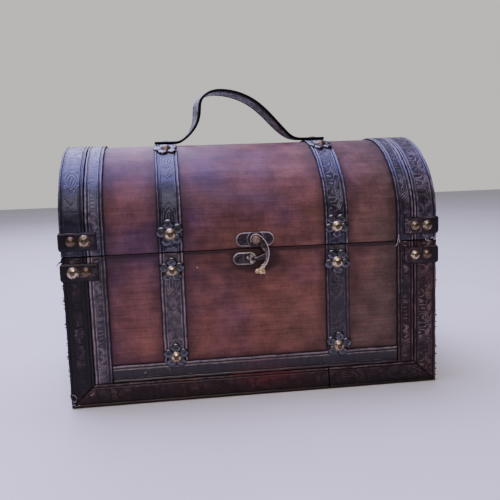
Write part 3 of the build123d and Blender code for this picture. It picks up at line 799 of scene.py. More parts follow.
@dataclass(frozen=True)
class Stamp:
    """Relief that is rolled into a leather band, in millimetres."""

    motif: Motif
    width: float
    seed: float = 0.0
    strength: float = 1.0
    rib: float = 0.45
    line: float = 0.5
    stroke: float = 0.42
    pitch: float = 62.0
    margin: float = 4.9
    skips: float = 0.38

    def profile(self, across: Array) -> Array:
        """Height of the rib, the groove and the bead along each edge.

        Args:
            across: Distance from the middle of the band.

        Returns:
            Height over the ground.
        """
        edge = self.width / 2 - np.abs(across)
        outer = self.rib * np.exp(-np.abs((edge - 1.0) / 0.95) ** 4)
        groove = -0.4 * np.exp(-np.abs((edge - 2.7) / 0.6) ** 4)
        bead = 0.8 * self.rib * np.exp(-(((edge - 4.0) / 0.55) ** 2))
        return outer + groove + bead

    def marks(self, along: Array, across: Array) -> Array:
        """Strokes of the motif as they were pressed, from 0 to 1.

        Args:
            along: Distance along the band.
            across: Distance from its middle.

        Returns:
            Strength of the strokes at each place.
        """
        room = self.width / 2 - self.margin
        inside = 1 / (1 + np.exp(-(room - np.abs(across)) / 0.2))
        pressed = np.clip(0.62 + self.skips * wander(along, self.seed, 73.0), 0, 1)
        return self.strength * inside * pressed * self.figure(along, across, room)

    def figure(self, along: Array, across: Array, room: float) -> Array:
        """Strokes of the motif, from 0 to 1.

        Args:
            along: Distance along the band.
            across: Distance from its middle.
            room: Half width of the stamped field.

        Returns:
            Strength of the strokes.
        """
        waver = 0.45 * wander(along, self.seed + 2, 17.0)
        place = np.mod(along + 9.7 * self.seed + 0.6 * wander(across, self.seed + 5, 11.0), self.pitch)
        draw = {
            Motif.SCROLL: self.scrolls, Motif.FLAME: self.flames,
            Motif.CHEVRON: self.hatching, Motif.FAN: self.fans,
        }[self.motif]
        nearest = np.min(np.abs(np.stack(draw(place, across + waver, room))), axis=0)
        return np.exp(-((nearest / self.stroke) ** 2))

    @staticmethod
    def scrolls(place: Array, across: Array, room: float) -> list[Array]:
        """Distances to the strokes of tulips, leaves and paired curls.

        Args:
            place: Distance along one repeat.
            across: Distance from the middle of the band.
            room: Half width of the stamped field.

        Returns:
            One distance for each stroke.
        """
        side = np.abs(across)
        strokes = []
        for start in (7.0, 9.6, 12.2, 14.8):
            vee = (place - start - 1.15 * side) / math.hypot(1, 1.15)
            strokes.append(np.where(side < 0.96 * room, vee, NO_STROKE))
        for middle, length, width in ((31.0, 10.5, 0.92), (30.0, 7.0, 0.5)):
            run = (place - middle) / length
            leaf = side - width * room * (1 - run ** 2)
            steep = np.hypot(1, 2 * width * room * run / length)
            strokes.append(np.where(np.abs(run) < 1, leaf / steep, NO_STROKE))
        strokes.append(np.where(np.abs(place - 30.0) < 5.0, side, NO_STROKE))
        for middle, off, radius in ((3.0, 0.5, 0.4), (3.0, 0.5, 0.13), (22.6, 0.76, 0.22), (41.6, 0.76, 0.22),
                                    (46.6, 0.5, 0.42), (46.6, 0.5, 0.15)):
            strokes.append(np.hypot(place - middle, side - off * room) - radius * room)
        strokes.append(np.where(place < 4.5, np.hypot(place + 1.0, side) - 0.96 * room, NO_STROKE))
        slant = np.mod(place - side, 2.7) - 1.35
        strokes.append(np.where((place > 51.5) & (place < 60.5), slant / math.sqrt(2), NO_STROKE))
        return strokes

    @staticmethod
    def flames(place: Array, across: Array, room: float) -> list[Array]:
        """Distances to nested flame and scroll lines.

        Args:
            place: Distance along one repeat.
            across: Distance from the middle of the band.
            room: Half width of the stamped field.

        Returns:
            One distance.
        """
        turn = 2 * np.pi / Stamp.pitch

        def swell(run: Array, side: Array) -> Array:
            """Smooth hills whose level lines are the strokes."""
            off = (0.4 * np.abs(side) + 0.6 * side) / room
            hills = np.cos(3 * turn * run - 2.6 * off) + 0.7 * np.cos(2 * turn * run + 1.3 + 1.1 * off)
            return hills + 0.45 * np.cos(5 * turn * run + 3.4 * off) + 1.2 * off

        level = swell(place, across)
        slope = np.hypot(swell(place + 0.05, across) - level, swell(place, across + 0.05) - level) / 0.05
        return [(np.mod(level, 0.9) - 0.45) / np.maximum(slope, 0.2)]

    @staticmethod
    def fans(place: Array, across: Array, room: float) -> list[Array]:
        """Distances to the strokes of feather fans with small pegs between them.

        Args:
            place: Distance along one repeat.
            across: Distance from the middle of the band.
            room: Half width of the stamped field.

        Returns:
            One distance for each stroke.
        """
        strokes = []
        for root, sign in ((6.0, 1), (19.0, -1), (33.5, 1), (50.0, -1)):
            run, rise = place - root, sign * across + 0.9 * room
            reach = np.hypot(run, rise)
            angle = np.arctan2(run, rise) + 0.05 * reach
            spoke = (np.mod(angle + 0.14, 0.28) - 0.14) * reach
            opened = (reach > 2.2) & (reach < 1.65 * room) & (np.abs(angle) < 0.95)
            strokes.append(np.where(opened, spoke, NO_STROKE))
        for peg in (12.6, 26.4, 42.0, 57.5):
            bar = np.where(np.abs(across) < 0.4 * room, np.abs(place - peg) - 1.5, NO_STROKE)
            stem = np.where(np.abs(place - peg) < 1.5, across, NO_STROKE)
            strokes += [bar, stem]
        return strokes

    @staticmethod
    def hatching(place: Array, across: Array, room: float) -> list[Array]:
        """Distances to the strokes of slants, arrowheads, rungs and small curls.

        Args:
            place: Distance along one repeat.
            across: Distance from the middle of the band.
            room: Half width of the stamped field.

        Returns:
            One distance for each stroke.
        """
        slant = (np.mod(place - 0.9 * across, 2.7) - 1.35) / math.hypot(1, 0.9)
        barb = 0.95 * np.abs(np.mod(place, 7.0) - 3.5) * room / 3.4
        arrow = (across - room + barb) / math.sqrt(2)
        inner = (across - 0.35 * room + barb) / math.sqrt(2)
        rung = np.where(np.abs(across + 0.2 * room) < 0.62 * room, np.mod(place, 3.5) - 1.75, NO_STROKE)
        curl = np.hypot(np.mod(place, 5.2) - 2.6, np.abs(across) - 0.5 * room) - 0.42 * room
        runs = ((0, 13, slant), (14.5, 28.5, arrow), (14.5, 28.5, inner), (30, 46, rung), (47, 61, curl))
        return [np.where((place > start) & (place < end), stroke, NO_STROKE) for start, end, stroke in runs]


Surface = Callable[[Array, Array], tuple[Array, Array]]


@dataclass(frozen=True)
class Wear:
    """How a band looks: its aged ground, dye that shows, rubbed ribs, rubbed strokes, and a lean of its grey
    from one side to the other.
    """

    tone: float
    dye: float
    rib: float
    mark: float
    lean: float = 0.0


@dataclass
class LeatherBand:
    """One band of stamped leather, glued on a surface in place of a plain solid."""

    name: str
    node: str
    surface: Surface
    start: tuple[float, float]
    finish: tuple[float, float]
    stamp: Stamp
    wear: Wear
    dull: bool = False
    thick: float = SIZES.leather
    pressed: float = 0.34
    glue: float = 0.02
    rolled: float = 0.55
    shrink: float = 0.25
    step: float = 0.7
    fine: float = 0.46

    def build(self, material: Material) -> Object:
        """Make the band as a closed mesh with its relief.

        Args:
            material: Leather finish.

        Returns:
            The band.
        """
        half = self.stamp.width / 2
        columns = max(8, int(round(self.stamp.width / self.fine))) + 1
        reach = max(abs(self.finish[0] - self.start[0]), abs(self.finish[1] - self.start[1]))
        rows = max(8, int(round(reach / self.step))) + 1
        across, share = np.meshgrid(np.linspace(-half, half, columns), np.linspace(0, 1, rows))
        tilt = (across + half) / self.stamp.width
        low = self.start[0] + (self.start[1] - self.start[0]) * tilt
        high = self.finish[0] + (self.finish[1] - self.finish[0]) * tilt
        along = low + (high - low) * share
        ribs = self.stamp.profile(across)
        marks = self.stamp.marks(along, across)
        relief = ribs + self.stamp.line * marks
        edge = np.minimum(half - np.abs(across), np.minimum(along - low, high - along))
        rolled = self.rolled * np.clip(1 - edge / 0.9, 0, 1) ** 2
        drawn = self.shrink * (1 + wander(along, self.stamp.seed + np.sign(across), 31.0))
        places, normals = self.surface(along, across * (1 - drawn / half))
        lift = self.thick - self.pressed + relief - rolled
        top = places + normals * lift[..., None]
        base = np.array([places[r, c] + normals[r, c] * self.glue for r, c in rim_of(rows, columns)])
        points = np.vstack([top.reshape(-1, 3), base])
        obj = mesh_object(self.name, points, band_faces(rows, columns), material)
        wear = self.wear
        raised = ribs / self.stamp.rib
        fading = 0.75 + 0.25 * wander(along, self.stamp.seed + 3 + np.sign(across), 43.0)
        rubbed = wear.rib * fading * np.clip(raised, 0, 1) ** 1.4
        tone = wear.tone * np.clip(1 + raised, 0, 1) + rubbed + wear.mark * marks
        tone *= np.clip(edge / 0.7, 0.12, 1) * (1 - wear.lean * across / half)
        paint(obj, np.concatenate([tone.ravel(), np.zeros(len(base))]), wear.dye)
        outward(obj)
        return obj


def paint(obj: Object, tone: Array, dye: float) -> None:
    """Store how rubbed and how red a leather piece is; on the handle the grey also holds painted highlight
    and painted shade.

    Args:
        obj: The piece.
        tone: Rubbed grey of each vertex, from 0 to 1.
        dye: How much red-brown dye shows.
    """
    for name, values in (("tone", np.clip(tone, 0, 1)), ("dye", np.full(len(tone), dye))):
        layer = obj.data.attributes.new(name, "FLOAT", "POINT")
        layer.data.foreach_set("value", values.astype(np.float32))


def rim_of(rows: int, columns: int) -> list[tuple[int, int]]:
    """Grid places round the edge of a patch, in order.

    Args:
        rows: Number of rows.
        columns: Number of columns.

    Returns:
        Row and column of each edge vertex.
    """
    rim = [(0, c) for c in range(columns - 1)]
    rim += [(r, columns - 1) for r in range(rows - 1)]
    rim += [(rows - 1, c) for c in range(columns - 1, 0, -1)]
    rim += [(r, 0) for r in range(rows - 1, 0, -1)]
    return rim


def band_faces(rows: int, columns: int) -> list[tuple[int, ...]]:
    """Faces of a closed band: its top, its four edges and its back.

    Args:
        rows: Rows of the top grid.
        columns: Columns of the top grid.

    Returns:
        Vertex numbers of each face.
    """
    first, second = np.meshgrid(np.arange(rows - 1), np.arange(columns - 1), indexing="ij")
    corner = (first * columns + second).ravel()
    faces = [tuple(f) for f in np.stack([corner, corner + 1, corner + columns + 1, corner + columns], 1)]
    rim = rim_of(rows, columns)
    number = {place: rows * columns + i for i, place in enumerate(rim)}
    for (r, c), (r2, c2) in zip(rim, rim[1:] + rim[:1]):
        faces.append((r2 * columns + c2, r * columns + c, number[(r, c)], number[(r2, c2)]))
    whole, ends = range(columns), (0, columns - 1)
    for r in range(rows - 1):
        row = [number[(r, c)] for c in (whole if r == 0 else ends)]
        after = [number[(r + 1, c)] for c in (whole if r == rows - 2 else ends)]
        faces.append(tuple(row + after[::-1]))
    return faces


def outward(obj: Object) -> None:
    """Point all faces of a closed piece outwards.

    Args:
        obj: The piece.
    """
    work = bmesh.new()
    work.from_mesh(obj.data)
    bmesh.ops.recalc_face_normals(work, faces=work.faces)
    work.to_mesh(obj.data)
    work.free()


def board_surface(face: Side | End, upright: bool, middle: float) -> Surface:
    """Surface of an upright board.

    Args:
        face: Side or end of the box.
        upright: Whether the band runs up, rather than level.
        middle: Place of an upright band along the board, or height of a level one.

    Returns:
        Function from along and across to places and normals.
    """
    axis, reach = (1, SIZES.half_depth) if isinstance(face, Side) else (0, SIZES.half_length)

    def places(along: Array, across: Array) -> tuple[Array, Array]:
        """Places on the board."""
        place = [middle + across, along] if upright else [along, middle + across]
        place.insert(axis, np.full_like(along, face.value * reach))
        normal = np.zeros(along.shape + (3,))
        normal[..., axis] = face.value
        return np.stack(place, -1), normal
    return places


def dome_surface(middle: float) -> Surface:
    """Surface of the lid along one band.

    Args:
        middle: X of the band's middle.

    Returns:
        Function from along and across to places and normals.
    """
    def places(along: Array, across: Array) -> tuple[Array, Array]:
        """Places on the dome."""
        y, z, angle = LidSection().at(along, np.zeros_like(along))
        normal = np.stack([np.zeros_like(along), -np.cos(angle), np.sin(angle)], -1)
        return np.stack([middle + across, y, z], -1), normal
    return places


def arch_surface(end: End) -> Surface:
    """Arched surface on an end of the lid.

    Args:
        end: Left or right.

    Returns:
        Function from along and across to places and normals.
    """
    def places(along: Array, across: Array) -> tuple[Array, Array]:
        """Places on the end board."""
        y, z, _ = LidSection().at(along, across - SIZES.end_arch / 2)
        x = np.full_like(along, end.value * SIZES.half_length)
        normal = np.zeros(along.shape + (3,))
        normal[..., 0] = end.value
        return np.stack([x, y, z], -1), normal
    return places


@dataclass
class LeatherWork:
    """All bands and straps of the box."""

    sizes: BoxSizes = SIZES
    floor_joint: float = 66.0
    joint_slant: float = 1.2
    joint_gap: float = 0.3
    hidden_wear: Wear = Wear(0.14, 0.2, 0.4, 0.5)

    def body_bands(self) -> Iterable[LeatherBand]:
        """Bands of the lower half."""
        s = self.sizes
        for side in Side:
            word = side.name.lower()
            wide = Stamp(Motif.SCROLL, s.lower_top - s.lift, seed=1.1, strength=0.8)
            level = board_surface(side, False, (s.lower_top + s.lift) / 2)
            joint = (self.floor_joint, self.floor_joint - self.joint_slant)
            rest = (joint[0] + self.joint_gap, joint[1] + self.joint_gap)
            runs = (
                ("floor_band", (-s.band_x, -s.inner_x), joint, 0.62),
                ("floor_band_end", rest, (s.band_x, s.inner_x), 0.35),
            )
            for name, start, finish, dye in runs:
                wear = Wear(0.15, dye, 0.34, 0.45, -0.6)
                node = f"body_{word}_lower_band"
                yield LeatherBand(f"{word}_{name}", node, level, start, finish, wide, wear, dull=True)
            upper = board_surface(side, False, (s.lower_top + s.upper_top) / 2)
            thin = Stamp(Motif.SCROLL, s.upper_top - s.lower_top, seed=2.3, strength=0.45)
            reach = (-s.field_x,) * 2, (s.field_x,) * 2
            wear = Wear(0.14, 0.12, 1.0, 0.5, -0.75)
            yield LeatherBand(f"{word}_upper_band", f"body_{word}_upper_band", upper, *reach, thin, wear)
            for end in End:
                yield from self.uprights(side, end)
        for end in End:
            yield from self.end_bands(end)

    def uprights(self, side: Side, end: End) -> Iterable[LeatherBand]:
        """Upright bands and strap at one corner of the lower half.

        Args:
            side: Front or back.
            end: Left or right.

        Yields:
            Each band.
        """
        s = self.sizes
        label = f"{side.name.lower()}_{end.name.lower()}"
        seed = 3.0 * end.value + 0.7 * side.value
        if end is End.LEFT:
            foot, motifs = (s.lift, s.lower_top), (Motif.FAN, Motif.SCROLL)
            wears = Wear(0.06, 0.15, 0.2, 0.6), Wear(0.3, 0.15, 0.85, 0.8, 0.5), Wear(0.34, 0.1, 1.0, 0.75)
        else:
            foot, motifs = (s.lower_top, s.lift), (Motif.FLAME, Motif.FLAME)
            wears = Wear(0.2, 0.5, 0.45, 0.9), Wear(0.17, 0.5, 0.45, 0.9), Wear(0.2, 0.1, 0.4, 0.5)
        corner = Stamp(motifs[0], s.corner_band, seed, skips=0.45)
        inner = Stamp(Motif.CHEVRON, s.inner_band, seed + 1)
        strap = Stamp(motifs[1], s.strap_width, seed + 2, strength=0.8)
        rows = (
            ("corner_band", s.band_x - s.corner_band / 2, foot, corner, True),
            ("inner_band", s.inner_x - s.inner_band / 2, (s.lower_top,) * 2, inner, end is End.RIGHT),
            ("strap", s.strap_x, (s.upper_top,) * 2, strap, False),
        )
        top = (s.seam,) * 2
        for (name, middle, low, stamp, dull), wear in zip(rows, wears):
            surface = board_surface(side, True, end.value * middle)
            name = f"{label}_{name}"
            yield LeatherBand(name, f"body_{name}", surface, low, top, stamp, wear, dull)

    def end_bands(self, end: End) -> Iterable[LeatherBand]:
        """Leather round three edges of an end, as mitred runs.

        Args:
            end: Left or right.

        Yields:
            Each run.
        """
        s = self.sizes
        label = f"{end.name.lower()}_end"
        node = f"body_{label}_band"
        window = s.half_depth - s.corner_band
        foot = board_surface(end, False, (s.lower_top + s.lift) / 2)
        wide = Stamp(Motif.SCROLL, s.lower_top - s.lift, seed=4.2, strength=0.6)
        run = (-s.half_depth, -window), (s.half_depth, window)
        yield LeatherBand(f"{label}_floor_band", node, foot, *run, wide, Wear(0.16, 0.5, 0.35, 0.5))
        for side in Side:
            low = (s.lift, s.lower_top) if side is Side.FRONT else (s.lower_top, s.lift)
            surface = board_surface(end, True, side.value * (s.half_depth - s.corner_band / 2))
            stamp = Stamp(Motif.FAN, s.corner_band, 5.1 + side.value)
            name = f"{label}_{side.name.lower()}_band"
            yield LeatherBand(name, node, surface, low, (s.seam,) * 2, stamp, self.hidden_wear)

    def lid_bands(self) -> Iterable[LeatherBand]:
        """Bands and straps over the dome, and the arches on its ends."""
        s = self.sizes
        whole = LidSection().length
        run = (0.0, 0.0), (whole, whole)
        for end in End:
            label = f"lid_{end.name.lower()}"
            seed = 1.9 * end.value
            if end is End.LEFT:
                corner = Stamp(Motif.SCROLL, s.corner_band, seed - 2.1, skips=0.7)
                strap = Stamp(Motif.SCROLL, s.strap_width, seed + 2, skips=0.6)
                wears = [Wear(0.12, 0.0, 0.35, 0.5), Wear(0.34, 0.0, 0.7, 0.6, 0.25)]
                wears.append(Wear(0.16, 0.0, 0.75, 0.65, -0.3))
            else:
                corner = Stamp(Motif.FLAME, s.corner_band, seed)
                strap = Stamp(Motif.FLAME, s.strap_width, seed + 2, skips=0.3)
                wears = [Wear(0.27, 0.15, 0.6, 0.7), Wear(0.23, 0.2, 0.55, 0.7, -0.2)]
                wears.append(Wear(0.16, 0.0, 0.65, 0.8))
            inner = Stamp(Motif.CHEVRON, s.inner_band, seed + 1)
            rows = (
                ("corner_cover", "corner_band", s.band_x - s.corner_band / 2, corner),
                ("inner_cover", "inner_band", s.inner_x - s.inner_band / 2, inner),
                ("strap_cover", "strap", s.strap_x, strap),
            )
            for (name, node, middle, stamp), wear in zip(rows, wears):
                surface = dome_surface(end.value * middle)
                yield LeatherBand(f"{label}_{name}", f"{label}_{node}", surface, *run, stamp, wear)
            stamp = Stamp(Motif.SCROLL, s.end_arch, seed + 3)
            names = f"{label}_arch_cover", f"{label}_end_arch"
            yield LeatherBand(*names, arch_surface(end), *run, stamp, self.hidden_wear)

    def build(self, finishes: Finishes) -> None:
        """Make and dress every band.

        Args:
            finishes: Materials of the box.
        """
        lower, upper = (self.body_bands(), finishes.body_leather), (self.lid_bands(), finishes.leather)
        for body, (bands, waxed) in (("box", lower), ("lid", upper)):
            for band in bands:
                obj = band.build(finishes.dull_leather if band.dull else waxed)
                dress(obj, body, "embossed_leather", band.node)


@dataclass
class CornerPatch:
    """Leather patch that is bent round one corner, over the bands."""

    end: End
    side: Side
    low: float
    front: float = 33.0
    back: float = 18.0
    height: float = 16.5
    bend: float = 1.8
    grid: tuple[int, int] = (110, 36)

    @property
    def tone(self) -> float:
        """Rubbed grey of the patch, darker at the left."""
        return 0.05 if self.end is End.LEFT else 0.1

    @property
    def dye(self) -> float:
        """Red-brown of the patch, more at the right."""
        return 0.03 if self.end is End.LEFT else 0.3

    @property
    def stamp(self) -> Stamp:
        """Figures on the inner half of the patch."""
        motif = Motif.FAN if self.end is End.LEFT else Motif.FLAME
        return Stamp(motif, self.height + 6.0, 0.13 * self.low + self.end.value)

    def path(self, count: int) -> tuple[Array, Array]:
        """Outer line of the patch seen from above.

        Args:
            count: Number of places along it.

        Returns:
            Places and outward normals in X and Y.
        """
        s = SIZES
        outer_x, outer_y = s.band_x + s.patch, s.half_depth + s.leather + s.patch
        first = self.front - self.bend
        curve = self.bend * math.pi / 2
        along = np.linspace(0, first + curve + self.back - self.bend, count)
        angle = np.clip((along - first) / self.bend, 0, math.pi / 2)
        x = outer_x - self.front + np.minimum(along, first) + self.bend * np.sin(angle)
        y = outer_y - self.bend + self.bend * np.cos(angle) - np.clip(along - first - curve, 0, None)
        place = np.stack([self.end.value * x, self.side.value * y], -1)
        normal = np.stack([self.end.value * np.sin(angle), self.side.value * np.cos(angle)], -1)
        return place, normal

    def build(self, name: str, material: Material) -> Object:
        """Make the patch with a slightly uneven cut edge.

        Args:
            name: Name of the piece.
            material: Leather finish.

        Returns:
            The patch.
        """
        rows, columns = self.grid
        place, normal = self.path(rows)
        share = np.linspace(0, 1, columns)
        seed = self.end.value * 1.3 + self.side.value * 2.1 + self.low
        walk = np.linspace(0, self.front + self.back, rows)
        low = self.low + 0.3 + 0.3 * wander(walk, seed, 19.0)
        high = self.low + self.height - 0.35 + 0.35 * wander(walk, seed + 4, 15.0)
        z = low[:, None] + (high - low)[:, None] * share[None, :]
        edge = np.minimum(z - low[:, None], high[:, None] - z)
        edge = np.minimum(edge, np.minimum(walk, walk[::-1])[:, None])
        swell = 0.16 * wander(walk, seed + 2, 9.0)[:, None] * np.sin(np.pi * share)[None, :]
        along = np.broadcast_to(walk[:, None], z.shape)
        marks = self.stamp.marks(along, z - (low + high)[:, None] / 2)
        worn = np.clip((25.0 - walk) / 10.0, 0, 1)[:, None]
        relief = swell + 0.3 * worn * marks - 1.2 * np.clip(1 - edge / 2.2, 0, 1) ** 1.6
        xy = place[:, None, :] + normal[:, None, :] * relief[..., None]
        top = np.concatenate([xy, z[..., None]], -1)
        rim = rim_of(rows, columns)
        base = np.array([[*(place[r] - normal[r] * SIZES.patch), z[r, c]] for r, c in rim])
        obj = mesh_object(name, np.vstack([top.reshape(-1, 3), base]), band_faces(rows, columns), material)
        crest = np.exp(-(((high[:, None] - z - 0.5) / 0.45) ** 2)) * np.clip((walk - 14) / 8, 0, 1)[:, None]
        tone = self.tone * (0.75 + 0.25 * np.clip(edge, 0, 1)) + 0.55 * crest
        tone = tone + worn * np.clip(edge / 0.8, 0.2, 1) * (0.15 + 0.55 * marks)
        paint(obj, np.concatenate([tone.ravel(), np.zeros(len(base))]), self.dye)
        outward(obj)
        return obj


@dataclass
class PatchSet:
    """The four patches above the seam and the four below it."""

    rise: float = 5.0

    def build(self, finishes: Finishes) -> None:
        """Make and dress the patches.

        Args:
            finishes: Materials of the box.
        """
        levels = {"lid": SIZES.lid_low + self.rise, "box": SIZES.seam - self.rise - CornerPatch.height}
        nodes = {"lid": "lid_corner_patches", "box": "body_corner_patches"}
        for body, low in levels.items():
            for end, side in product(End, Side):
                name = f"{body}_{side.name.lower()}_{end.name.lower()}_patch"
                patch = CornerPatch(end, side, low).build(name, finishes.dull_leather)
                dress(patch, body, "embossed_leather", nodes[body])


@dataclass
class StrapHandle:
    """Limp leather strap that stands up in a loop between its flat feet."""

    width: float = 16.0
    thick: float = 2.6
    foot: float = 21.0
    lift: float = 50.0
    lean: float = 3.6
    twist: float = 6.2
    bends: int = 24
    places: int = 240
    loop: tuple[Triple, ...] = (
        (-0.82, 0.11, 0.2), (-0.69, 0.29, 0.6), (-0.61, 0.56, 1.0), (-0.58, 0.81, 1.0),
        (-0.44, 0.97, 1.0), (-0.23, 1.0, 1.0), (0.02, 0.93, 1.0), (0.265, 0.765, 1.0),
        (0.515, 0.465, 1.0), (0.715, 0.175, 0.9), (0.85, 0.03, 0.5),
    )

    def line(self, back: float) -> Array:
        """Middle line of the strap, feet and loop.

        Args:
            back: 0 at the front edge, 1 at the back edge.

        Returns:
            X and Z along the line, evenly spaced.
        """
        base = SIZES.crown_z + SIZES.leather + self.thick / 2
        start = SIZES.strap_x - self.foot / 2
        end = SIZES.strap_x + self.foot / 2
        points = [(-start, base)]
        for across, up, swing in self.loop:
            height = base + up * (self.lift - back * self.lean)
            points.append((across * start - back * swing * self.twist, height))
        points.append((start, base))
        curve = self.smooth(np.array(points), self.bends)
        whole = np.vstack([[(-end, base)], curve, [(end, base)]])
        return self.spread(whole, self.places)

    @staticmethod
    def smooth(points: Array, steps: int) -> Array:
        """Curve through the points that leaves both ends level.

        Args:
            points: Places that the curve passes.
            steps: Places between two of them.

        Returns:
            Places along the curve.
        """
        gaps = np.linalg.norm(np.diff(points, axis=0), axis=1)
        rate = np.diff(points, axis=0) / gaps[:, None]
        count = len(points)
        matrix = np.eye(count)
        wanted = np.zeros((count, 2))
        wanted[0] = wanted[-1] = (1.0, 0.0)
        for i in range(1, count - 1):
            before, after = gaps[i - 1], gaps[i]
            matrix[i, i - 1:i + 2] = after, 2 * (before + after), before
            wanted[i] = 3 * (after * rate[i - 1] + before * rate[i])
        slope = np.linalg.solve(matrix, wanted)
        share = np.linspace(0, 1, steps, endpoint=False)[:, None]
        out = []
        for i, gap in enumerate(gaps):
            first = (1 + 2 * share) * (1 - share) ** 2 * points[i] + share * (1 - share) ** 2 * gap * slope[i]
            second = share ** 2 * (3 - 2 * share) * points[i + 1]
            out.append(first + (second - share ** 2 * (1 - share) * gap * slope[i + 1]))
        return np.vstack([*out, points[-1:]])

    @staticmethod
    def spread(line: Array, count: int) -> Array:
        """Space places evenly along a line.

        Args:
            line: Places along the line.
            count: How many places to return.

        Returns:
            Evenly spaced places.
        """
        walk = np.concatenate([[0], np.cumsum(np.linalg.norm(np.diff(line, axis=0), axis=1))])
        even = np.linspace(0, walk[-1], count)
        return np.stack([np.interp(even, walk, line[:, 0]), np.interp(even, walk, line[:, 1])], -1)

    def section(self) -> tuple[Array, Array, Array]:
        """Cut through the strap: two faces with a creased line along each edge, and dark cut edges; both
        faces darken next to the front edge as painted shade.

        Returns:
            Place across, height and tone round the cut, rubbed grey with painted shade at the front edge.
        """
        half = self.width / 2
        face = np.linspace(-half + 0.35, half - 0.35, 45)
        edge = half - np.abs(face)
        crease = 0.42 * np.exp(-(((edge - 2.6) / 0.45) ** 2))
        rounded = 0.55 * np.clip(1 - (edge - 0.35) / 1.3, 0, 1) ** 2
        height = self.thick / 2 - crease - rounded
        tone = (0.62 - 0.9 * crease) * np.clip((edge - 0.4) / 0.9, 0.04, 1)
        # painted shade: both faces darken towards the front edge, which stands in shade
        tone *= np.clip((face + half - 1.3) / 1.4, 0.04, 1)
        lip = np.array([half])
        across = np.concatenate([face, lip, face[::-1], -lip])
        up = np.concatenate([height, [0.0], -height[::-1], [0.0]])
        return across, up, np.concatenate([tone, [0.02], tone[::-1], [0.02]])

    def build(self, finishes: Finishes) -> None:
        """Make and dress the handle.

        Args:
            finishes: Materials of the box.
        """
        across, up, tone = self.section()
        ring = len(across)
        rows = []
        shape = []
        front, rear = self.line(0.0), self.line(1.0)
        share = ((across + self.width / 2) / self.width)[:, None]
        for i in range(len(front)):
            lo, hi = max(i - 1, 0), min(i + 1, len(front) - 1)
            centre = front[i] + (rear[i] - front[i]) * share
            slope = (front[hi] - front[lo]) * (1 - share) + (rear[hi] - rear[lo]) * share
            slope /= np.linalg.norm(slope, axis=1)[:, None]
            normal = np.stack([-slope[:, 1], slope[:, 0]], -1)
            place = centre + normal * up[:, None]
            rows.append(np.stack([place[:, 0], across, place[:, 1]], -1))
            step = front[hi] - front[lo]
            rise = max(step[1], 0.0) / np.linalg.norm(step)
            # outer face dimmer, and brighter where the strap rises: a painted highlight for the sheen on the
            # rising run
            handled_and_sheen = np.where(np.arange(ring) < ring // 2 - 1, 0.55 + 1.1 * rise ** 2, 1.0)
            shape.append(tone * handled_and_sheen * (1 + 0.3 * wander(np.array(i * 0.9), 1.0, 40.0)))
        count = len(rows)
        faces = []
        for i in range(count - 1):
            for j in range(ring):
                k = (j + 1) % ring
                faces.append((i * ring + j, i * ring + k, (i + 1) * ring + k, (i + 1) * ring + j))
        faces.append(tuple(range(ring)))
        faces.append(tuple(range((count - 1) * ring, count * ring)))
        obj = mesh_object("strap_handle", np.vstack(rows), faces, finishes.strap_leather)
        paint(obj, np.concatenate(shape), 0.0)
        outward(obj)
        dress(obj, "lid", "embossed_leather", "handle_strap")


@dataclass(frozen=True)
class Seat:
    """Place for a nail or flower: where it sits, which way it faces and how it is turned."""

    place: Triple
    outward: Triple
    spin: float = 0.0
    patina: float = 0.4
    size: float = 1.0


Profile = Callable[[Socket], Socket]


class PieceTree:
    """Geometry node tree with named inputs, whose result becomes a plain piece."""

    def __init__(self, name: str, source: str, inputs: dict[str, str]) -> None:
        """Start the tree.

        Args:
            name: Name of the tree.
            source: Name of the input for the seats or lines.
            inputs: Socket type of each further input.
        """
        self.tree = bpy.data.node_groups.new(name, "GeometryNodeTree")
        face = self.tree.interface
        face.new_socket(source, in_out="INPUT", socket_type="NodeSocketGeometry")
        self.identifiers = {}
        for label, kind in inputs.items():
            self.identifiers[label] = face.new_socket(label, in_out="INPUT", socket_type=kind).identifier
        face.new_socket("Pieces", in_out="OUTPUT", socket_type="NodeSocketGeometry")
        self.given = add(self.tree, "NodeGroupInput").outputs

    def settle(self, holder: Object, name: str, values: dict[str, Any]) -> Object:
        """Run the tree and keep its result as a plain mesh.

        Args:
            holder: Object with the seats or lines, which is removed.
            name: Name of the piece.
            values: Value of each named input.

        Returns:
            The finished piece.
        """
        modifier = holder.modifiers.new("pieces", "NODES")
        modifier.node_group = self.tree
        for label, value in values.items():
            modifier[self.identifiers[label]] = value
        return plain(holder, name)


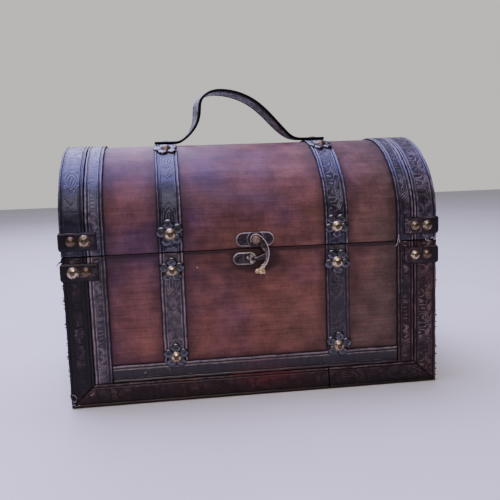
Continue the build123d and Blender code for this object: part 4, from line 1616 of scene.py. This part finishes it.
class SeatTree(PieceTree):
    """Node tree that sets one small metal piece on every seat."""

    def __init__(self, name: str, sizes: dict[str, float]) -> None:
        """Start the tree.

        Args:
            name: Name of the tree.
            sizes: Named size inputs, in metres.
        """
        super().__init__(name, "Seats", {label: "NodeSocketFloat" for label in sizes})
        self.sizes = sizes

    def size(self, label: str) -> Socket:
        """Socket of a named size."""
        return self.given[label]

    def math(self, operation: str, *values: Any) -> Socket:
        """Result of one arithmetic node on values or sockets."""
        return calc(self.tree, operation, *values)

    def turned(self, radius: Socket, height: Profile, rings: int, sides: int) -> Socket:
        """Round shape turned about Z from a profile.

        Args:
            radius: Outer radius.
            height: Gives the height from the share of the radius.
            rings: Steps from the middle to the rim.
            sides: Steps round.

        Returns:
            The mesh socket, closed at the middle.
        """
        tree = self.tree
        mesh = {"Size X": 1.0, "Size Y": 1.0, "Vertices X": rings, "Vertices Y": sides + 1}
        grid = out(tree, "GeometryNodeMeshGrid", mesh)
        split = axes_of(tree, out(tree, "GeometryNodeInputPosition"))
        share = self.math("ADD", split["X"], 0.5)
        angle = self.math("MULTIPLY", self.math("ADD", split["Y"], 0.5), 2 * math.pi)
        reach = self.math("MULTIPLY", share, radius)
        x = self.math("MULTIPLY", reach, self.math("COSINE", angle))
        y = self.math("MULTIPLY", reach, self.math("SINE", angle))
        place = out(tree, "ShaderNodeCombineXYZ", {"X": x, "Y": y, "Z": height(share)})
        kept = {"Geometry": grid, "Name": "reach", "Value": share}
        shape = out(tree, "GeometryNodeStoreNamedAttribute", kept, data_type="FLOAT", domain="POINT")
        shape = out(tree, "GeometryNodeSetPosition", {"Geometry": shape, "Position": place})
        return out(tree, "GeometryNodeMergeByDistance", {"Geometry": shape, "Distance": 1e-5})

    def finish(self, piece: Socket, material: Material, dent: float, dent_mm: float) -> None:
        """Set the piece on every seat and close the tree.

        Args:
            piece: Mesh of one piece, seated at z = 0.
            material: Finish of the pieces.
            dent: Depth of the hand-made unevenness, in metres.
            dent_mm: Width of the dents.
        """
        tree = self.tree
        kinds = {"outward": "FLOAT_VECTOR", "spin": "FLOAT", "size": "FLOAT"}
        facing, spin, size = (
            out(tree, "GeometryNodeInputNamedAttribute", {"Name": label}, data_type=kind)
            for label, kind in kinds.items()
        )
        aligned = out(tree, "FunctionNodeAlignRotationToVector", {"Vector": facing}, axis="Z")
        turn = out(tree, "FunctionNodeAxisAngleToRotation", {"Axis": (0, 0, 1), "Angle": spin})
        both = {"Rotation": aligned, "Rotate By": turn}
        turned = out(tree, "FunctionNodeRotateRotation", both, rotation_space="LOCAL")
        copies = {"Points": self.given["Seats"], "Instance": piece, "Rotation": turned, "Scale": size}
        shape = out(tree, "GeometryNodeInstanceOnPoints", copies)
        shape = out(tree, "GeometryNodeRealizeInstances", {"Geometry": shape})
        noise = add(tree, "ShaderNodeTexNoise", {"Scale": 1000 / dent_mm, "Detail": 1.0}).outputs["Color"]
        centred = out(tree, "ShaderNodeVectorMath", {0: noise, 1: (0.5, 0.5, 0.5)}, operation="SUBTRACT")
        shift = out(tree, "ShaderNodeVectorMath", {0: centred, "Scale": 2 * dent}, operation="SCALE")
        shape = out(tree, "GeometryNodeSetPosition", {"Geometry": shape, "Offset": shift})
        shape = out(tree, "GeometryNodeSetShadeSmooth", {"Geometry": shape})
        shape = out(tree, "GeometryNodeSetMaterial", {"Geometry": shape, "Material": material})
        add(tree, "NodeGroupOutput", {0: shape})

    def run(self, name: str, seats: Sequence[Seat]) -> Object:
        """Set the copies on their seats.

        Args:
            name: Name of the piece.
            seats: Where the copies go.

        Returns:
            The finished object.
        """
        mesh = bpy.data.meshes.new(f"{name}_seats")
        mesh.from_pydata([tuple(c * MM for c in s.place) for s in seats], [], [])
        facing = mesh.attributes.new("outward", "FLOAT_VECTOR", "POINT")
        facing.data.foreach_set("vector", [c for s in seats for c in s.outward])
        kept = {"spin": [math.radians(s.spin) for s in seats]}
        kept |= {"patina": [s.patina for s in seats], "size": [s.size for s in seats]}
        for label, values in kept.items():
            mesh.attributes.new(label, "FLOAT", "POINT").data.foreach_set("value", values)
        return self.settle(linked(f"{name}_seats", mesh), name, self.sizes)


@dataclass(frozen=True)
class Strand:
    """Round strand along a line, in millimetres, with its radius at both ends."""

    line: tuple[Triple, ...]
    radii: tuple[float, float]


class StrandTree(PieceTree):
    """Node tree that lays a round strand along every line."""

    def __init__(self, name: str, sides: int = 8) -> None:
        """Make the tree.

        Args:
            name: Name of the tree.
            sides: Steps round a strand.
        """
        super().__init__(name, "Lines", {"Sides": "NodeSocketInt", "Finish": "NodeSocketMaterial"})
        self.sides = sides
        tree, given = self.tree, self.given
        path = out(tree, "GeometryNodeMeshToCurve", {"Mesh": given["Lines"]})
        path = out(tree, "GeometryNodeCurveSplineType", {"Curve": path}, spline_type="CATMULL_ROM")
        path = out(tree, "GeometryNodeSetSplineResolution", {"Geometry": path, "Resolution": 4})
        circle = {"Resolution": given["Sides"], "Radius": 1.0}
        ring = out(tree, "GeometryNodeCurvePrimitiveCircle", circle)
        thick = out(tree, "GeometryNodeInputNamedAttribute", {"Name": "thick"}, data_type="FLOAT")
        swept = {"Curve": path, "Profile Curve": ring, "Scale": thick, "Fill Caps": True}
        solid = out(tree, "GeometryNodeCurveToMesh", swept)
        smooth = out(tree, "GeometryNodeSetShadeSmooth", {"Geometry": solid})
        real = out(tree, "GeometryNodeRealizeInstances", {"Geometry": smooth})
        coloured = out(tree, "GeometryNodeSetMaterial", {"Geometry": real, "Material": given["Finish"]})
        add(tree, "NodeGroupOutput", {0: coloured})

    def run(self, name: str, strands: Sequence[Strand], material: Material) -> Object:
        """Lay the strands.

        Args:
            name: Name of the piece.
            strands: The strands.
            material: Their finish.

        Returns:
            The finished object.
        """
        points, edges, thick = [], [], []
        for strand in strands:
            base, count = len(points), len(strand.line)
            points += [tuple(c * MM for c in p) for p in strand.line]
            edges += [(base + i, base + i + 1) for i in range(count - 1)]
            thick += list(np.linspace(*strand.radii, count) * MM)
        lines = bpy.data.meshes.new(f"{name}_lines")
        lines.from_pydata(points, edges, [])
        lines.attributes.new("thick", "FLOAT", "POINT").data.foreach_set("value", thick)
        values = {"Sides": self.sides, "Finish": material}
        obj = self.settle(linked(f"{name}_lines", lines), name, values)
        outward(obj)
        return obj


@dataclass
class LooseThreads:
    """Threads and fibres that have worked loose from cut edges of the leather."""

    seed: int = 5
    front: float = 92.7
    thread: float = 0.26

    def pale(self) -> list[Strand]:
        """Pale backing threads that hang from the lid's front right corner."""
        y = -self.front
        lines = [
            ((133.6, y + 0.6, 142.2), (132.6, y, 139.0), (131.9, y - 0.2, 136.6), (131.6, y - 0.1, 134.2),
             (130.2, y, 131.8)),
            ((132.6, y, 138.9), (133.8, y - 0.2, 136.4), (133.4, y, 134.8)),
            ((158.4, y, 137.6), (159.8, y - 0.3, 135.4), (161.4, y - 0.2, 136.2), (162.6, y, 134.6)),
            ((163.8, y, 137.4), (165.2, y - 0.4, 138.6), (166.8, y - 0.2, 136.6), (168.4, y, 137.2)),
            ((167.4, y, 138.0), (169.0, y - 0.3, 140.0), (170.4, y, 138.8)),
        ]
        return [Strand(line, (self.thread, 0.7 * self.thread)) for line in lines]

    def scuffs(self) -> list[Strand]:
        """Pale fibres at the front left foot, short scuffs on the floor bands and a chip in the lacquer."""
        y = -self.front
        lines = [
            ((-168.8, y + 0.6, 12.5), (-167.2, y - 0.1, 13.6), (-165.6, y, 12.2), (-164.6, y, 9.6)),
            ((-168.4, y + 0.4, 8.2), (-166.4, y - 0.2, 6.6), (-165.2, y, 8.4)),
            ((-168.9, y + 0.4, 3.4), (-167.0, y - 0.1, 4.6), (-166.2, y, 2.6)),
            ((-164.4, y + 0.3, 2.4), (-163.2, y - 0.1, 3.8), (-161.8, y + 0.1, 2.6)),
            ((-152.6, y + 0.2, 11.6), (-150.6, y, 12.6), (-149.4, y + 0.2, 14.2)),
            ((-104.4, y + 0.2, 28.6), (-103.0, y, 29.4), (-102.6, y + 0.2, 30.6)),
        ]
        wood = -SIZES.half_depth
        chip = Strand(((-52.9, wood, 121.0), (-52.5, wood - 0.1, 121.5), (-52.2, wood, 121.9)), (0.4, 0.3))
        return [Strand(line, (0.6 * self.thread, 0.5 * self.thread)) for line in lines] + [chip]

    def dark(self) -> list[Strand]:
        """Dark fibres along the cut edges at the front corners of the lower half."""
        spread = np.random.default_rng(self.seed)
        y = -self.front + 0.9
        tuft = ((-168.6, y, 133.6), (-170.4, y - 0.3, 132.6), (-172.2, y, 131.2), (-174.0, y, 129.2))
        strands = [Strand(tuft, (1.1, 0.2))]
        for end, count in ((End.LEFT, 26), (End.RIGHT, 10)):
            for z in spread.uniform(6.0, 112.0, count):
                reach, rise = spread.uniform(1.5, 2.6), spread.uniform(-1.6, 1.6)
                x = end.value * (SIZES.band_x - 1.2)
                bend = (x + end.value * 0.6 * reach, y - 0.2, z + 0.3 * rise)
                tip = (x + end.value * reach, y, z + rise)
                strands.append(Strand(((x, y, z), bend, tip), (spread.uniform(0.5, 0.8), 0.14)))
        return strands

    def build(self, finishes: Finishes) -> None:
        """Make and dress the threads.

        Args:
            finishes: Materials of the box.
        """
        tree = StrandTree("loose_threads", 6)
        dress(tree.run("lid_loose_threads", self.pale(), finishes.thread), "lid", "embossed_leather")
        dress(tree.run("box_foot_scuffs", self.scuffs(), finishes.thread), "box", "embossed_leather")
        dress(tree.run("box_edge_fibres", self.dark(), finishes.dull_leather), "box", "embossed_leather")


@dataclass(frozen=True)
class BackingThread:
    """Undyed cotton from the backing of the leather: off-white, matt, a little grey with dust."""

    name: str = "undyed_cotton_thread"
    clean: str = "#e2dcd6"
    dusty: str = "#b5aca6"
    twist_mm: float = 0.8
    roughness: float = 0.85

    def build(self) -> Material:
        """Make the material."""
        material, tree, shader, coords = new_material(self.name)
        twist = soft_noise(tree, coords, self.twist_mm, 2.0)
        colour = ramp(tree, twist, [(0.35, self.dusty), (0.65, self.clean)])
        feed(tree, shader, {"Base Color": colour, "Roughness": self.roughness})
        return material


@dataclass
class NailsAndFlowers:
    """Domed nails and the flower washers under some of them."""

    nail_radius: float = 5.2
    nail_dome: float = 3.0
    plate: float = 0.8
    petal_radius: float = 4.6
    petal_ring: float = 7.2
    petal_dome: float = 1.3
    patch_inset: float = 9.6
    patch_step: float = 11.4
    patch_sink: float = 0.15
    lid_flower: float = 153.6
    body_flowers: tuple[float, float] = (121.0, 42.7)
    crown_flower: float = 35.0
    nail_drop: float = 1.1
    nail_lift: float = 1.1

    def nail_tree(self, material: Material) -> SeatTree:
        """Tree of the domed nails.

        Args:
            material: Brass finish.

        Returns:
            The tree.
        """
        sizes = {"Head Radius": self.nail_radius * MM, "Dome Height": self.nail_dome * MM}
        tree = SeatTree("domed_nails", sizes)

        def dome(share: Socket) -> Socket:
            """Height of the head."""
            fall = tree.math("POWER", share, 2.35)
            return tree.math("MULTIPLY", tree.math("SUBTRACT", 1.0, fall), tree.size("Dome Height"))

        head = tree.turned(tree.size("Head Radius"), dome, rings=12, sides=40)
        tree.finish(head, material, dent=0.0001, dent_mm=4.0)
        return tree

    def flower_tree(self, material: Material) -> SeatTree:
        """Tree of the flower washers.

        Args:
            material: Pewter finish.

        Returns:
            The tree.
        """
        sizes = {"Petal Radius": self.petal_radius, "Petal Ring": self.petal_ring}
        sizes["Petal Height"] = self.plate + self.petal_dome
        tree = SeatTree("flower_washers", {label: value * MM for label, value in sizes.items()})

        def cup(share: Socket) -> Socket:
            """Height of a petal: a round swell with a shallow hollow in its middle."""
            shell = tree.math("SQRT", tree.math("SUBTRACT", 1.0001, tree.math("POWER", share, 4.2)))
            power = tree.math("MULTIPLY", tree.math("POWER", share, 2.0), -3.0)
            hollow = tree.math("MULTIPLY", tree.math("POWER", 2.718, power), 0.1)
            return tree.math("MULTIPLY", tree.math("SUBTRACT", shell, hollow), tree.size("Petal Height"))

        def flat(_: Socket) -> Socket:
            """Height of the plate that joins the petals."""
            return tree.math("MULTIPLY", tree.size("Petal Height"), 0.36)

        nodes = tree.tree
        petal = tree.turned(tree.size("Petal Radius"), cup, rings=12, sides=28)
        ring = out(nodes, "GeometryNodeMeshCircle", {"Vertices": 5, "Radius": tree.size("Petal Ring")})
        petals = out(nodes, "GeometryNodeInstanceOnPoints", {"Points": ring, "Instance": petal})
        middle = tree.turned(tree.size("Petal Ring"), flat, rings=4, sides=30)
        whole = add(nodes, "GeometryNodeJoinGeometry", {0: petals})
        feed(nodes, whole, {0: middle})
        single = out(nodes, "GeometryNodeRealizeInstances", {0: whole.outputs[0]})
        tree.finish(single, material, dent=0.00012, dent_mm=3.0)
        return tree

    def strap_seats(self, body: str, lift: float) -> list[Seat]:
        """Seats of the flowers on one half.

        Args:
            body: "lid" or "box".
            lift: Height over the leather.

        Returns:
            The seats.
        """
        proud = SIZES.half_depth + SIZES.leather + lift
        levels = (self.lid_flower,) if body == "lid" else self.body_flowers
        spins = {("lid", End.LEFT, 0): 100, ("lid", End.RIGHT, 0): -90, ("box", End.LEFT, 0): 90,
                 ("box", End.RIGHT, 0): -90, ("box", End.LEFT, 1): 90, ("box", End.RIGHT, 1): 82}
        drop = self.nail_drop if lift else 0.0
        seats = []
        for end, side in product(End, Side):
            x = end.value * SIZES.strap_x
            facing = (0.0, float(side.value), 0.0)
            size = 1.06 if (body == "lid") == (end is End.LEFT) else 0.98
            for i, z in enumerate(levels):
                patina = 0.05 + 0.14 * ((i + (end is End.LEFT)) % 2)
                place = (x, side.value * proud, z - drop)
                seats.append(Seat(place, facing, spins[(body, end, i)], patina, size))
            if body == "lid":
                tilt = math.asin(side.value * self.crown_flower / SIZES.crown_radius)
                facing = (0.0, math.sin(tilt), math.cos(tilt))
                radius = SIZES.crown_radius + (SIZES.leather + lift)
                base = SIZES.crown_z - SIZES.crown_radius
                place = (x, radius * facing[1], base + radius * facing[2])
                seats.append(Seat(place, facing, spin=30.0, patina=0.95))
        return seats

    def patch_seats(self, body: str) -> list[Seat]:
        """Seats of the two nails in each corner patch.

        Args:
            body: "lid" or "box".

        Returns:
            The seats.
        """
        proud = SIZES.half_depth + SIZES.leather + SIZES.patch - self.patch_sink
        level = PatchSet.rise + CornerPatch.height / 2
        z = SIZES.lid_low + level if body == "lid" else SIZES.seam - level
        outer_inner = {
            ("lid", End.LEFT): ((4.8, 0.8), (5.8, 0.45)), ("lid", End.RIGHT): ((4.9, 0.45), (4.5, 0.5)),
            ("box", End.LEFT): ((5.5, 0.08), (5.1, 0.85)), ("box", End.RIGHT): ((4.6, 0.75), (4.5, 0.0)),
        }
        seats = []
        for end, side in product(End, Side):
            facing = (0.0, float(side.value), 0.0)
            for i, (radius, patina) in enumerate(outer_inner[(body, end)]):
                x = end.value * (SIZES.band_x - self.patch_inset - i * self.patch_step)
                place = (x, side.value * proud, z)
                seats.append(Seat(place, facing, 40.0 * i, patina, radius / self.nail_radius))
        return seats

    def build(self, finishes: Finishes) -> None:
        """Make and dress the nails and flowers of both halves.

        Args:
            finishes: Materials of the box.
        """
        nail, flower = self.nail_tree(finishes.brass), self.flower_tree(finishes.pewter)
        for body, prefix in (("lid", "lid"), ("box", "body")):
            washers = flower.run(f"{body}_flower_washers", self.strap_seats(body, 0.0))
            dress(washers, body, "pewter_flowers", f"{prefix}_flowers")
            seats = self.strap_seats(body, self.plate + self.nail_lift) + self.patch_seats(body)
            heads = nail.run(f"{body}_domed_nails", seats)
            dress(heads, body, "antique_brass_nails", f"{prefix}_nails")


Pick = Callable[[Vector, Vector, int], int]
WELD = 1e-6  # metres within which points of a solid are one
FLAT_SEAM = 0.002  # radians below which an edge is no edge


def as_made(place: Vector, normal: Vector, finish: int) -> int:
    """Keep the finish that a face has."""
    return finish


def merged_copy(source: Object, name: str, finishes: Sequence[Material]) -> Object:
    """Copy a solid from the frame as one joined mesh without its flat seams.

    Args:
        source: Solid from the frame.
        name: Name of the copy.
        finishes: Its finishes, of which every face takes the first.

    Returns:
        The copy, linked to the scene.
    """
    work = bmesh.new()
    work.from_mesh(source.data)
    bmesh.ops.remove_doubles(work, verts=work.verts, dist=WELD)
    flat = [e for e in work.edges if len(e.link_faces) == 2 and e.calc_face_angle() < FLAT_SEAM]
    bmesh.ops.dissolve_edges(work, edges=flat, use_verts=True)
    mesh = bpy.data.meshes.new(name)
    work.to_mesh(mesh)
    work.free()
    mesh.materials.clear()
    for finish in finishes:
        mesh.materials.append(finish)
    mesh.polygons.foreach_set("material_index", [0] * len(mesh.polygons))
    return linked(name, mesh)


class Reworked:
    """Copy of a solid from the frame, worked over with modifiers."""

    def work(self, holder: Object) -> None:
        """Add the modifiers to the copy."""
        raise NotImplementedError

    def build(
        self, source: Object, name: str, finishes: Sequence[Material], pick: Pick = as_made,
    ) -> Object:
        """Make the reworked copy.

        Args:
            source: Solid from the frame.
            name: Name of the new piece.
            finishes: Finish of the faces, of eased edges, and any more that pick names.
            pick: Chooses a finish from the middle, normal and finish number of a face.

        Returns:
            The new piece.
        """
        holder = merged_copy(source, name, finishes)
        self.work(holder)
        piece = plain(holder, name)
        for face in piece.data.polygons:
            face.material_index = pick(face.center / MM, face.normal, face.material_index)
        return piece


@dataclass(frozen=True)
class SoftEdges(Reworked):
    """Eased edges, so that they catch the light."""

    width: float
    segments: int = 3
    angle: float = 32.0

    def work(self, holder: Object) -> None:
        """Ease the edges.

        Args:
            holder: The copy.
        """
        bevel = holder.modifiers.new("ease", "BEVEL")
        bevel.width = self.width * MM
        bevel.segments = self.segments
        bevel.limit_method = "ANGLE"
        bevel.angle_limit = math.radians(self.angle)
        bevel.material = 1
        bevel.harden_normals = True


@dataclass(frozen=True)
class Lump:
    """Rounded swelling of a casting, in millimetres, with the flat part under it thinned if it has a top."""

    middle: Triple
    radii: Triple
    top: float = 0.0
    thinned: float = 0.4

    def join(self, mesh: bpy.types.Mesh) -> None:
        """Add the swelling to a mesh that is to be cast as one.

        Args:
            mesh: Mesh of the casting.
        """
        work = bmesh.new()
        work.from_mesh(mesh)
        level = self.middle[1] * MM
        for vert in work.verts:
            if vert.co.z < self.top * MM:
                vert.co.y = level + self.thinned * (vert.co.y - level)
        size = Matrix.Diagonal((*(r * MM for r in self.radii), 1.0))
        place = Matrix.Translation(Vector(self.middle) * MM) @ size
        bmesh.ops.create_icosphere(work, subdivisions=3, radius=1.0, matrix=place)
        work.to_mesh(mesh)
        work.free()


@dataclass(frozen=True)
class TumbledCasting(Reworked):
    """Round edges of a small casting that was tumbled smooth."""

    voxel: float = 0.2
    rounds: int = 22
    lumps: tuple[Lump, ...] = ()

    def work(self, holder: Object) -> None:
        """Join the swellings, cast them as one and tumble the casting.

        Args:
            holder: The copy.
        """
        for lump in self.lumps:
            lump.join(holder.data)
        cast = holder.modifiers.new("cast", "REMESH")
        cast.mode = "VOXEL"
        cast.voxel_size = self.voxel * MM
        cast.use_smooth_shade = True
        tumble = holder.modifiers.new("tumble", "SMOOTH")
        tumble.factor = 0.5
        tumble.iterations = self.rounds


@dataclass
class Hardware:
    """Latch at the front, hinges at the back and the handle's tacks."""

    nodes: dict[str, Object]
    bodies: dict[str, str]
    rim_y: float = 91.7
    rim_slack: float = 0.12
    rim_top: float = 1.5
    upper_z: float = 144.5
    lower_z: float = 127.4
    tail_top: float = 120.0
    tail_y: float = -94.1
    tail_crest: float = 0.75
    hook_front: float = 94.2
    prong: tuple[float, float] = (124.4, 133.6)
    prong_root: float = 8.9
    pivot: tuple[float, float] = (0.5, 144.5)
    eye: float = 5.1
    eye_rim: float = 0.7
    arm_edge: tuple[tuple[float, float], ...] = ((3.26, 3.93), (11.6, -13.42), (7.8, -24.4))
    bead: tuple[float, float] = (0.24, 0.36)
    bead_inset: float = 0.3
    bead_turn: tuple[int, int, int] = (205, 50, -12)
    bead_steps: int = 14

    def rubbed_rim_lit_top(self, place: Vector, normal: Vector, finish: int) -> int:
        """Rub the raised rim of a plate bright: brightest along its top as a painted highlight, less bright
        along its foot as painted shade.
        """
        if finish == 0 and (normal.y > -0.7 or abs(place.y + self.rim_y) > self.rim_slack):
            return 0
        middle = self.upper_z if place.z > SIZES.seam else self.lower_z
        # painted highlight on the top of the rim, painted shade along its foot
        return 1 if place.z > middle + self.rim_top else 3

    def handled_hook(self, place: Vector, normal: Vector, finish: int) -> int:
        """Rub the outer edge of the hook bright and its tail to brass, leave the eye dark, and paint the
        prong dark as painted shade.
        """
        if place.z < self.tail_top:
            return 2 if place.y < self.tail_y - self.tail_crest else 4
        outer = math.hypot(place.x - self.pivot[0], place.z - self.pivot[1]) > self.eye - self.eye_rim
        if normal.y > -0.8 and outer and (normal.x > 0.25 or normal.z > 0.3):
            return 1
        # painted shade: the prong is painted dark so that it sinks into the shade round it
        prong = place.x < self.prong_root and self.prong[0] < place.z < self.prong[1]
        return 3 if prong or not outer else 0

    def build(self, finishes: Finishes) -> None:
        """Ease and dress every metal fitting.

        Args:
            finishes: Materials of the box.
        """
        lobes = (
            Lump((0.7, self.tail_y, 115.8), (2.5, 1.8, 2.1), 119.0),
            Lump((3.9, self.tail_y, 114.5), (2.2, 1.3, 1.5)),
            Lump((6.9, self.tail_y, 115.2), (1.4, 1.5, 2.8)),
            Lump((4.6, self.tail_y, 118.0), (2.6, 1.6, 1.7)),
        )
        knobs = (Lump((-7.3, -92.4, 128.3), (1.4, 1.3, 1.2)), Lump((-6.4, -91.9, 127.5), (1.7, 0.9, 1.3)))
        plate = (finishes.bronze, finishes.bronze_edge, finishes.tail, finishes.bronze_rim)
        hook = (finishes.hook, finishes.bronze_edge, finishes.tail, finishes.bronze, finishes.rivet)
        post, rivet, tack = ((metal, metal) for metal in (finishes.keeper, finishes.rivet, finishes.black))
        hinge = (finishes.hinge, finishes.hinge_edge)
        plan: dict[str, tuple[Reworked, Sequence[Material], Pick]] = {
            "latch_upper_plate": (SoftEdges(0.4), plate, self.rubbed_rim_lit_top),
            "latch_lower_plate": (SoftEdges(0.4), plate, self.rubbed_rim_lit_top),
            "latch_keeper": (TumbledCasting(voxel=0.15, rounds=8, lumps=knobs), post, as_made),
            "latch_hook": (TumbledCasting(lumps=lobes), hook, self.handled_hook),
        }
        eased = (
            (rivet, 0.25, ("latch_rivet",)),
            (tack, 0.15, ("latch_lid_pins", "latch_body_pins")),
            (hinge, 0.25, ("hinge_lid_leaves", "hinge_body_leaves")),
            (hinge, 0.2, ("hinge_pins",)),
            (hinge, 0.15, ("hinge_lid_screws", "hinge_body_screws")),
            (tack, 0.15, ("handle_tacks",)),
        )
        for metals, width, names in eased:
            plan |= {node: (SoftEdges(width), metals, as_made) for node in names}
        slots = {"latch": "antique_bronze_latch", "hinge": "dark_brass_hinges", "handle": "blackened_tacks"}
        for node, (shape, metals, pick) in plan.items():
            piece = shape.build(self.nodes[node], f"eased_{node}", metals, pick)
            dress(piece, self.bodies[node], slots[node.split("_")[0]], node)
        bead = StrandTree("hook_bead").run("hook_edge_bead", [self.hook_bead()], finishes.bronze_edge)
        dress(bead, "hook", slots["latch"])

    def hook_bead(self) -> Strand:
        """Raised bead round the eye and down the outer edge of the arm.

        Returns:
            The bead, from the left of the eye to the tail.
        """
        reach = self.eye - self.bead_inset
        round_eye = [math.radians(a) for a in range(*self.bead_turn)]
        line = [(reach * math.cos(a), reach * math.sin(a)) for a in round_eye]
        first, middle, last = self.arm_edge
        ends = np.array([[2 * (middle[0] - p[0]), 2 * (middle[1] - p[1])] for p in (first, last)])
        powers = np.array([math.hypot(*middle) ** 2 - math.hypot(*p) ** 2 for p in (first, last)])
        hub = np.linalg.solve(ends, powers)
        radius = math.dist(hub, middle) - self.bead_inset
        start, stop = (math.atan2(p[1] - hub[1], p[0] - hub[0]) for p in (first, last))
        for a in np.linspace(start, stop, self.bead_steps):
            line.append(tuple(hub + radius * np.array([math.cos(a), math.sin(a)])))
        place = [(self.pivot[0] + x, -self.hook_front, self.pivot[1] + z) for x, z in line]
        return Strand(tuple(place), self.bead)


@dataclass
class WoodWork:
    """Boards of the lower half and the shell of the lid."""

    nodes: dict[str, Object]
    bodies: dict[str, str]
    ease: float = 0.5

    def build(self, finishes: Finishes) -> None:
        """Ease the boards and give them their stained finish, with its painted shade and shadows.

        Args:
            finishes: Materials of the box.
        """
        along_y = {"body_left_board", "body_right_board", "lid_left_end", "lid_right_end"}
        along_x = {"body_front_board", "body_back_board", "body_bottom_board"}
        along_x |= {"lid_skin", "lid_front_rail", "lid_back_rail"}
        for node in sorted(along_x | along_y):
            stain_and_shade = finishes.wood_end if node in along_y else finishes.wood_long
            eased = SoftEdges(self.ease, segments=2)
            board = eased.build(self.nodes[node], f"stained_{node}", (stain_and_shade, stain_and_shade))
            dress(board, self.bodies[node], "mahogany_stained_wood", node)


@dataclass
class Studio:
    """Pale floor, soft light and the camera."""

    floor_half: float = 3.0
    sensor: float = 36.0
    focal_share: float = 641.6 / 500.0
    camera_place: Triple = (-0.0764, -0.6556, 0.2128)
    camera_turn: Triple = (0.12604, -0.13602, -0.03420)

    def floor(self) -> None:
        """Make the plain pale floor."""
        material, tree, shader, coords = new_material("pale_matt_floor")
        noise = {"Vector": coords, "Scale": 6.0, "Detail": 3.0}
        mottle = out(tree, "ShaderNodeTexNoise", noise)
        colour = ramp(tree, mottle, [(0.3, "#d9d5cd"), (0.7, "#dfdbd4")])
        feed(tree, shader, {"Base Color": colour, "Roughness": 0.85})
        half = self.floor_half * 1000
        corners = np.array([[-half, -half, 0], [half, -half, 0], [half, half, 0], [-half, half, 0]], float)
        mesh_object("floor", corners, [(0, 1, 2, 3)], material, smooth=False)

    @staticmethod
    def light(name: str, place: Triple, aim: Triple, size: float, power: float, colour: str) -> None:
        """Add one soft lamp.

        Args:
            name: Name of the lamp.
            place: Where it hangs, in metres.
            aim: What it points at.
            size: Width of its square face.
            power: Watts.
            colour: Colour of the light.
        """
        data = bpy.data.lights.new(name, "AREA")
        data.size = size
        data.energy = power
        data.color = linear(colour)[:3]
        lamp = linked(name, data)
        lamp.visible_camera = False
        lamp.location = place
        lamp.rotation_euler = (Vector(aim) - Vector(place)).to_track_quat("-Z", "Y").to_euler()

    @staticmethod
    def world() -> None:
        """Soft surround: pale and cool overhead and behind, dim in front, and pale to the camera."""
        world = bpy.data.worlds.new("studio")
        world.use_nodes = True
        tree = world.node_tree
        ways = add(tree, "ShaderNodeTexCoord").outputs["Generated"]
        split = axes_of(tree, ways)
        back = calc(tree, "MULTIPLY_ADD", split["Y"], 0.55, split["Z"])
        side = calc(tree, "MULTIPLY_ADD", split["X"], -0.25, back)
        share = out(tree, "ShaderNodeMapRange", {"Value": side, "From Min": -0.7, "From Max": 1.1})
        tones = [(0.0, "#2b2624"), (0.4, "#4a4543"), (0.75, "#a8a6ad"), (1.0, "#d8daea")]
        sky = ramp(tree, share, tones)
        seen = add(tree, "ShaderNodeLightPath").outputs["Is Camera Ray"]
        shown = tint(tree, seen, sky, "#f1efea")
        feed(tree, tree.nodes["Background"], {"Color": shown, "Strength": 0.8})
        bpy.context.scene.world = world

    def camera(self) -> None:
        """Stand the camera where the photograph was taken."""
        data = bpy.data.cameras.new("camera")
        data.sensor_fit = "HORIZONTAL"
        data.sensor_width = self.sensor
        data.lens = self.focal_share * self.sensor
        data.clip_start = 0.01
        yaw, pitch, roll = self.camera_turn
        ahead = Vector((math.sin(yaw) * math.cos(pitch), math.cos(yaw) * math.cos(pitch), math.sin(pitch)))
        level = Vector((math.cos(yaw), -math.sin(yaw), 0.0))
        upright = level.cross(ahead)
        right = math.cos(roll) * level + math.sin(roll) * upright
        above = -math.sin(roll) * level + math.cos(roll) * upright
        turn = Matrix((right, above, -ahead)).transposed().to_4x4()
        camera = linked("camera", data)
        camera.matrix_world = Matrix.Translation(self.camera_place) @ turn
        bpy.context.scene.camera = camera

    def build(self) -> None:
        """Set up floor, light, surround and camera."""
        self.floor()
        self.world()
        lamps = (
            ("overhead", (-0.32, 0.34, 1.5), (-0.02, 0.0, 0.2), 1.4, 58.0, "#b7b3fb"),
            ("window", (-0.35, 1.35, 1.15), (-0.02, 0.0, 0.22), 0.8, 9.0, "#dcdcff"),
            ("fill", (-0.15, -1.4, 1.5), (0.0, 0.0, 0.1), 1.0, 17.5, "#fff0e6"),
        )
        for lamp in lamps:
            self.light(*lamp)
        self.camera()


def clear_scene() -> None:
    """Start from an empty scene."""
    for obj in list(bpy.data.objects):
        bpy.data.objects.remove(obj)


def main() -> None:
    """Build the box piece by piece."""
    logging.basicConfig(level=logging.INFO, format="%(name)s: %(message)s")
    clear_scene()
    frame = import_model()
    members = frame["record"]["behaviour"]["bodies"]
    bodies = {node: body for body, nodes in members.items() for node in nodes}
    finishes = Finishes()
    WoodWork(frame["nodes"], bodies).build(finishes)
    LeatherWork().build(finishes)
    PatchSet().build(finishes)
    StrapHandle().build(finishes)
    NailsAndFlowers().build(finishes)
    LooseThreads().build(finishes)
    Hardware(frame["nodes"], bodies).build(finishes)
    Studio().build()


if __name__ == "__main__":
    main()
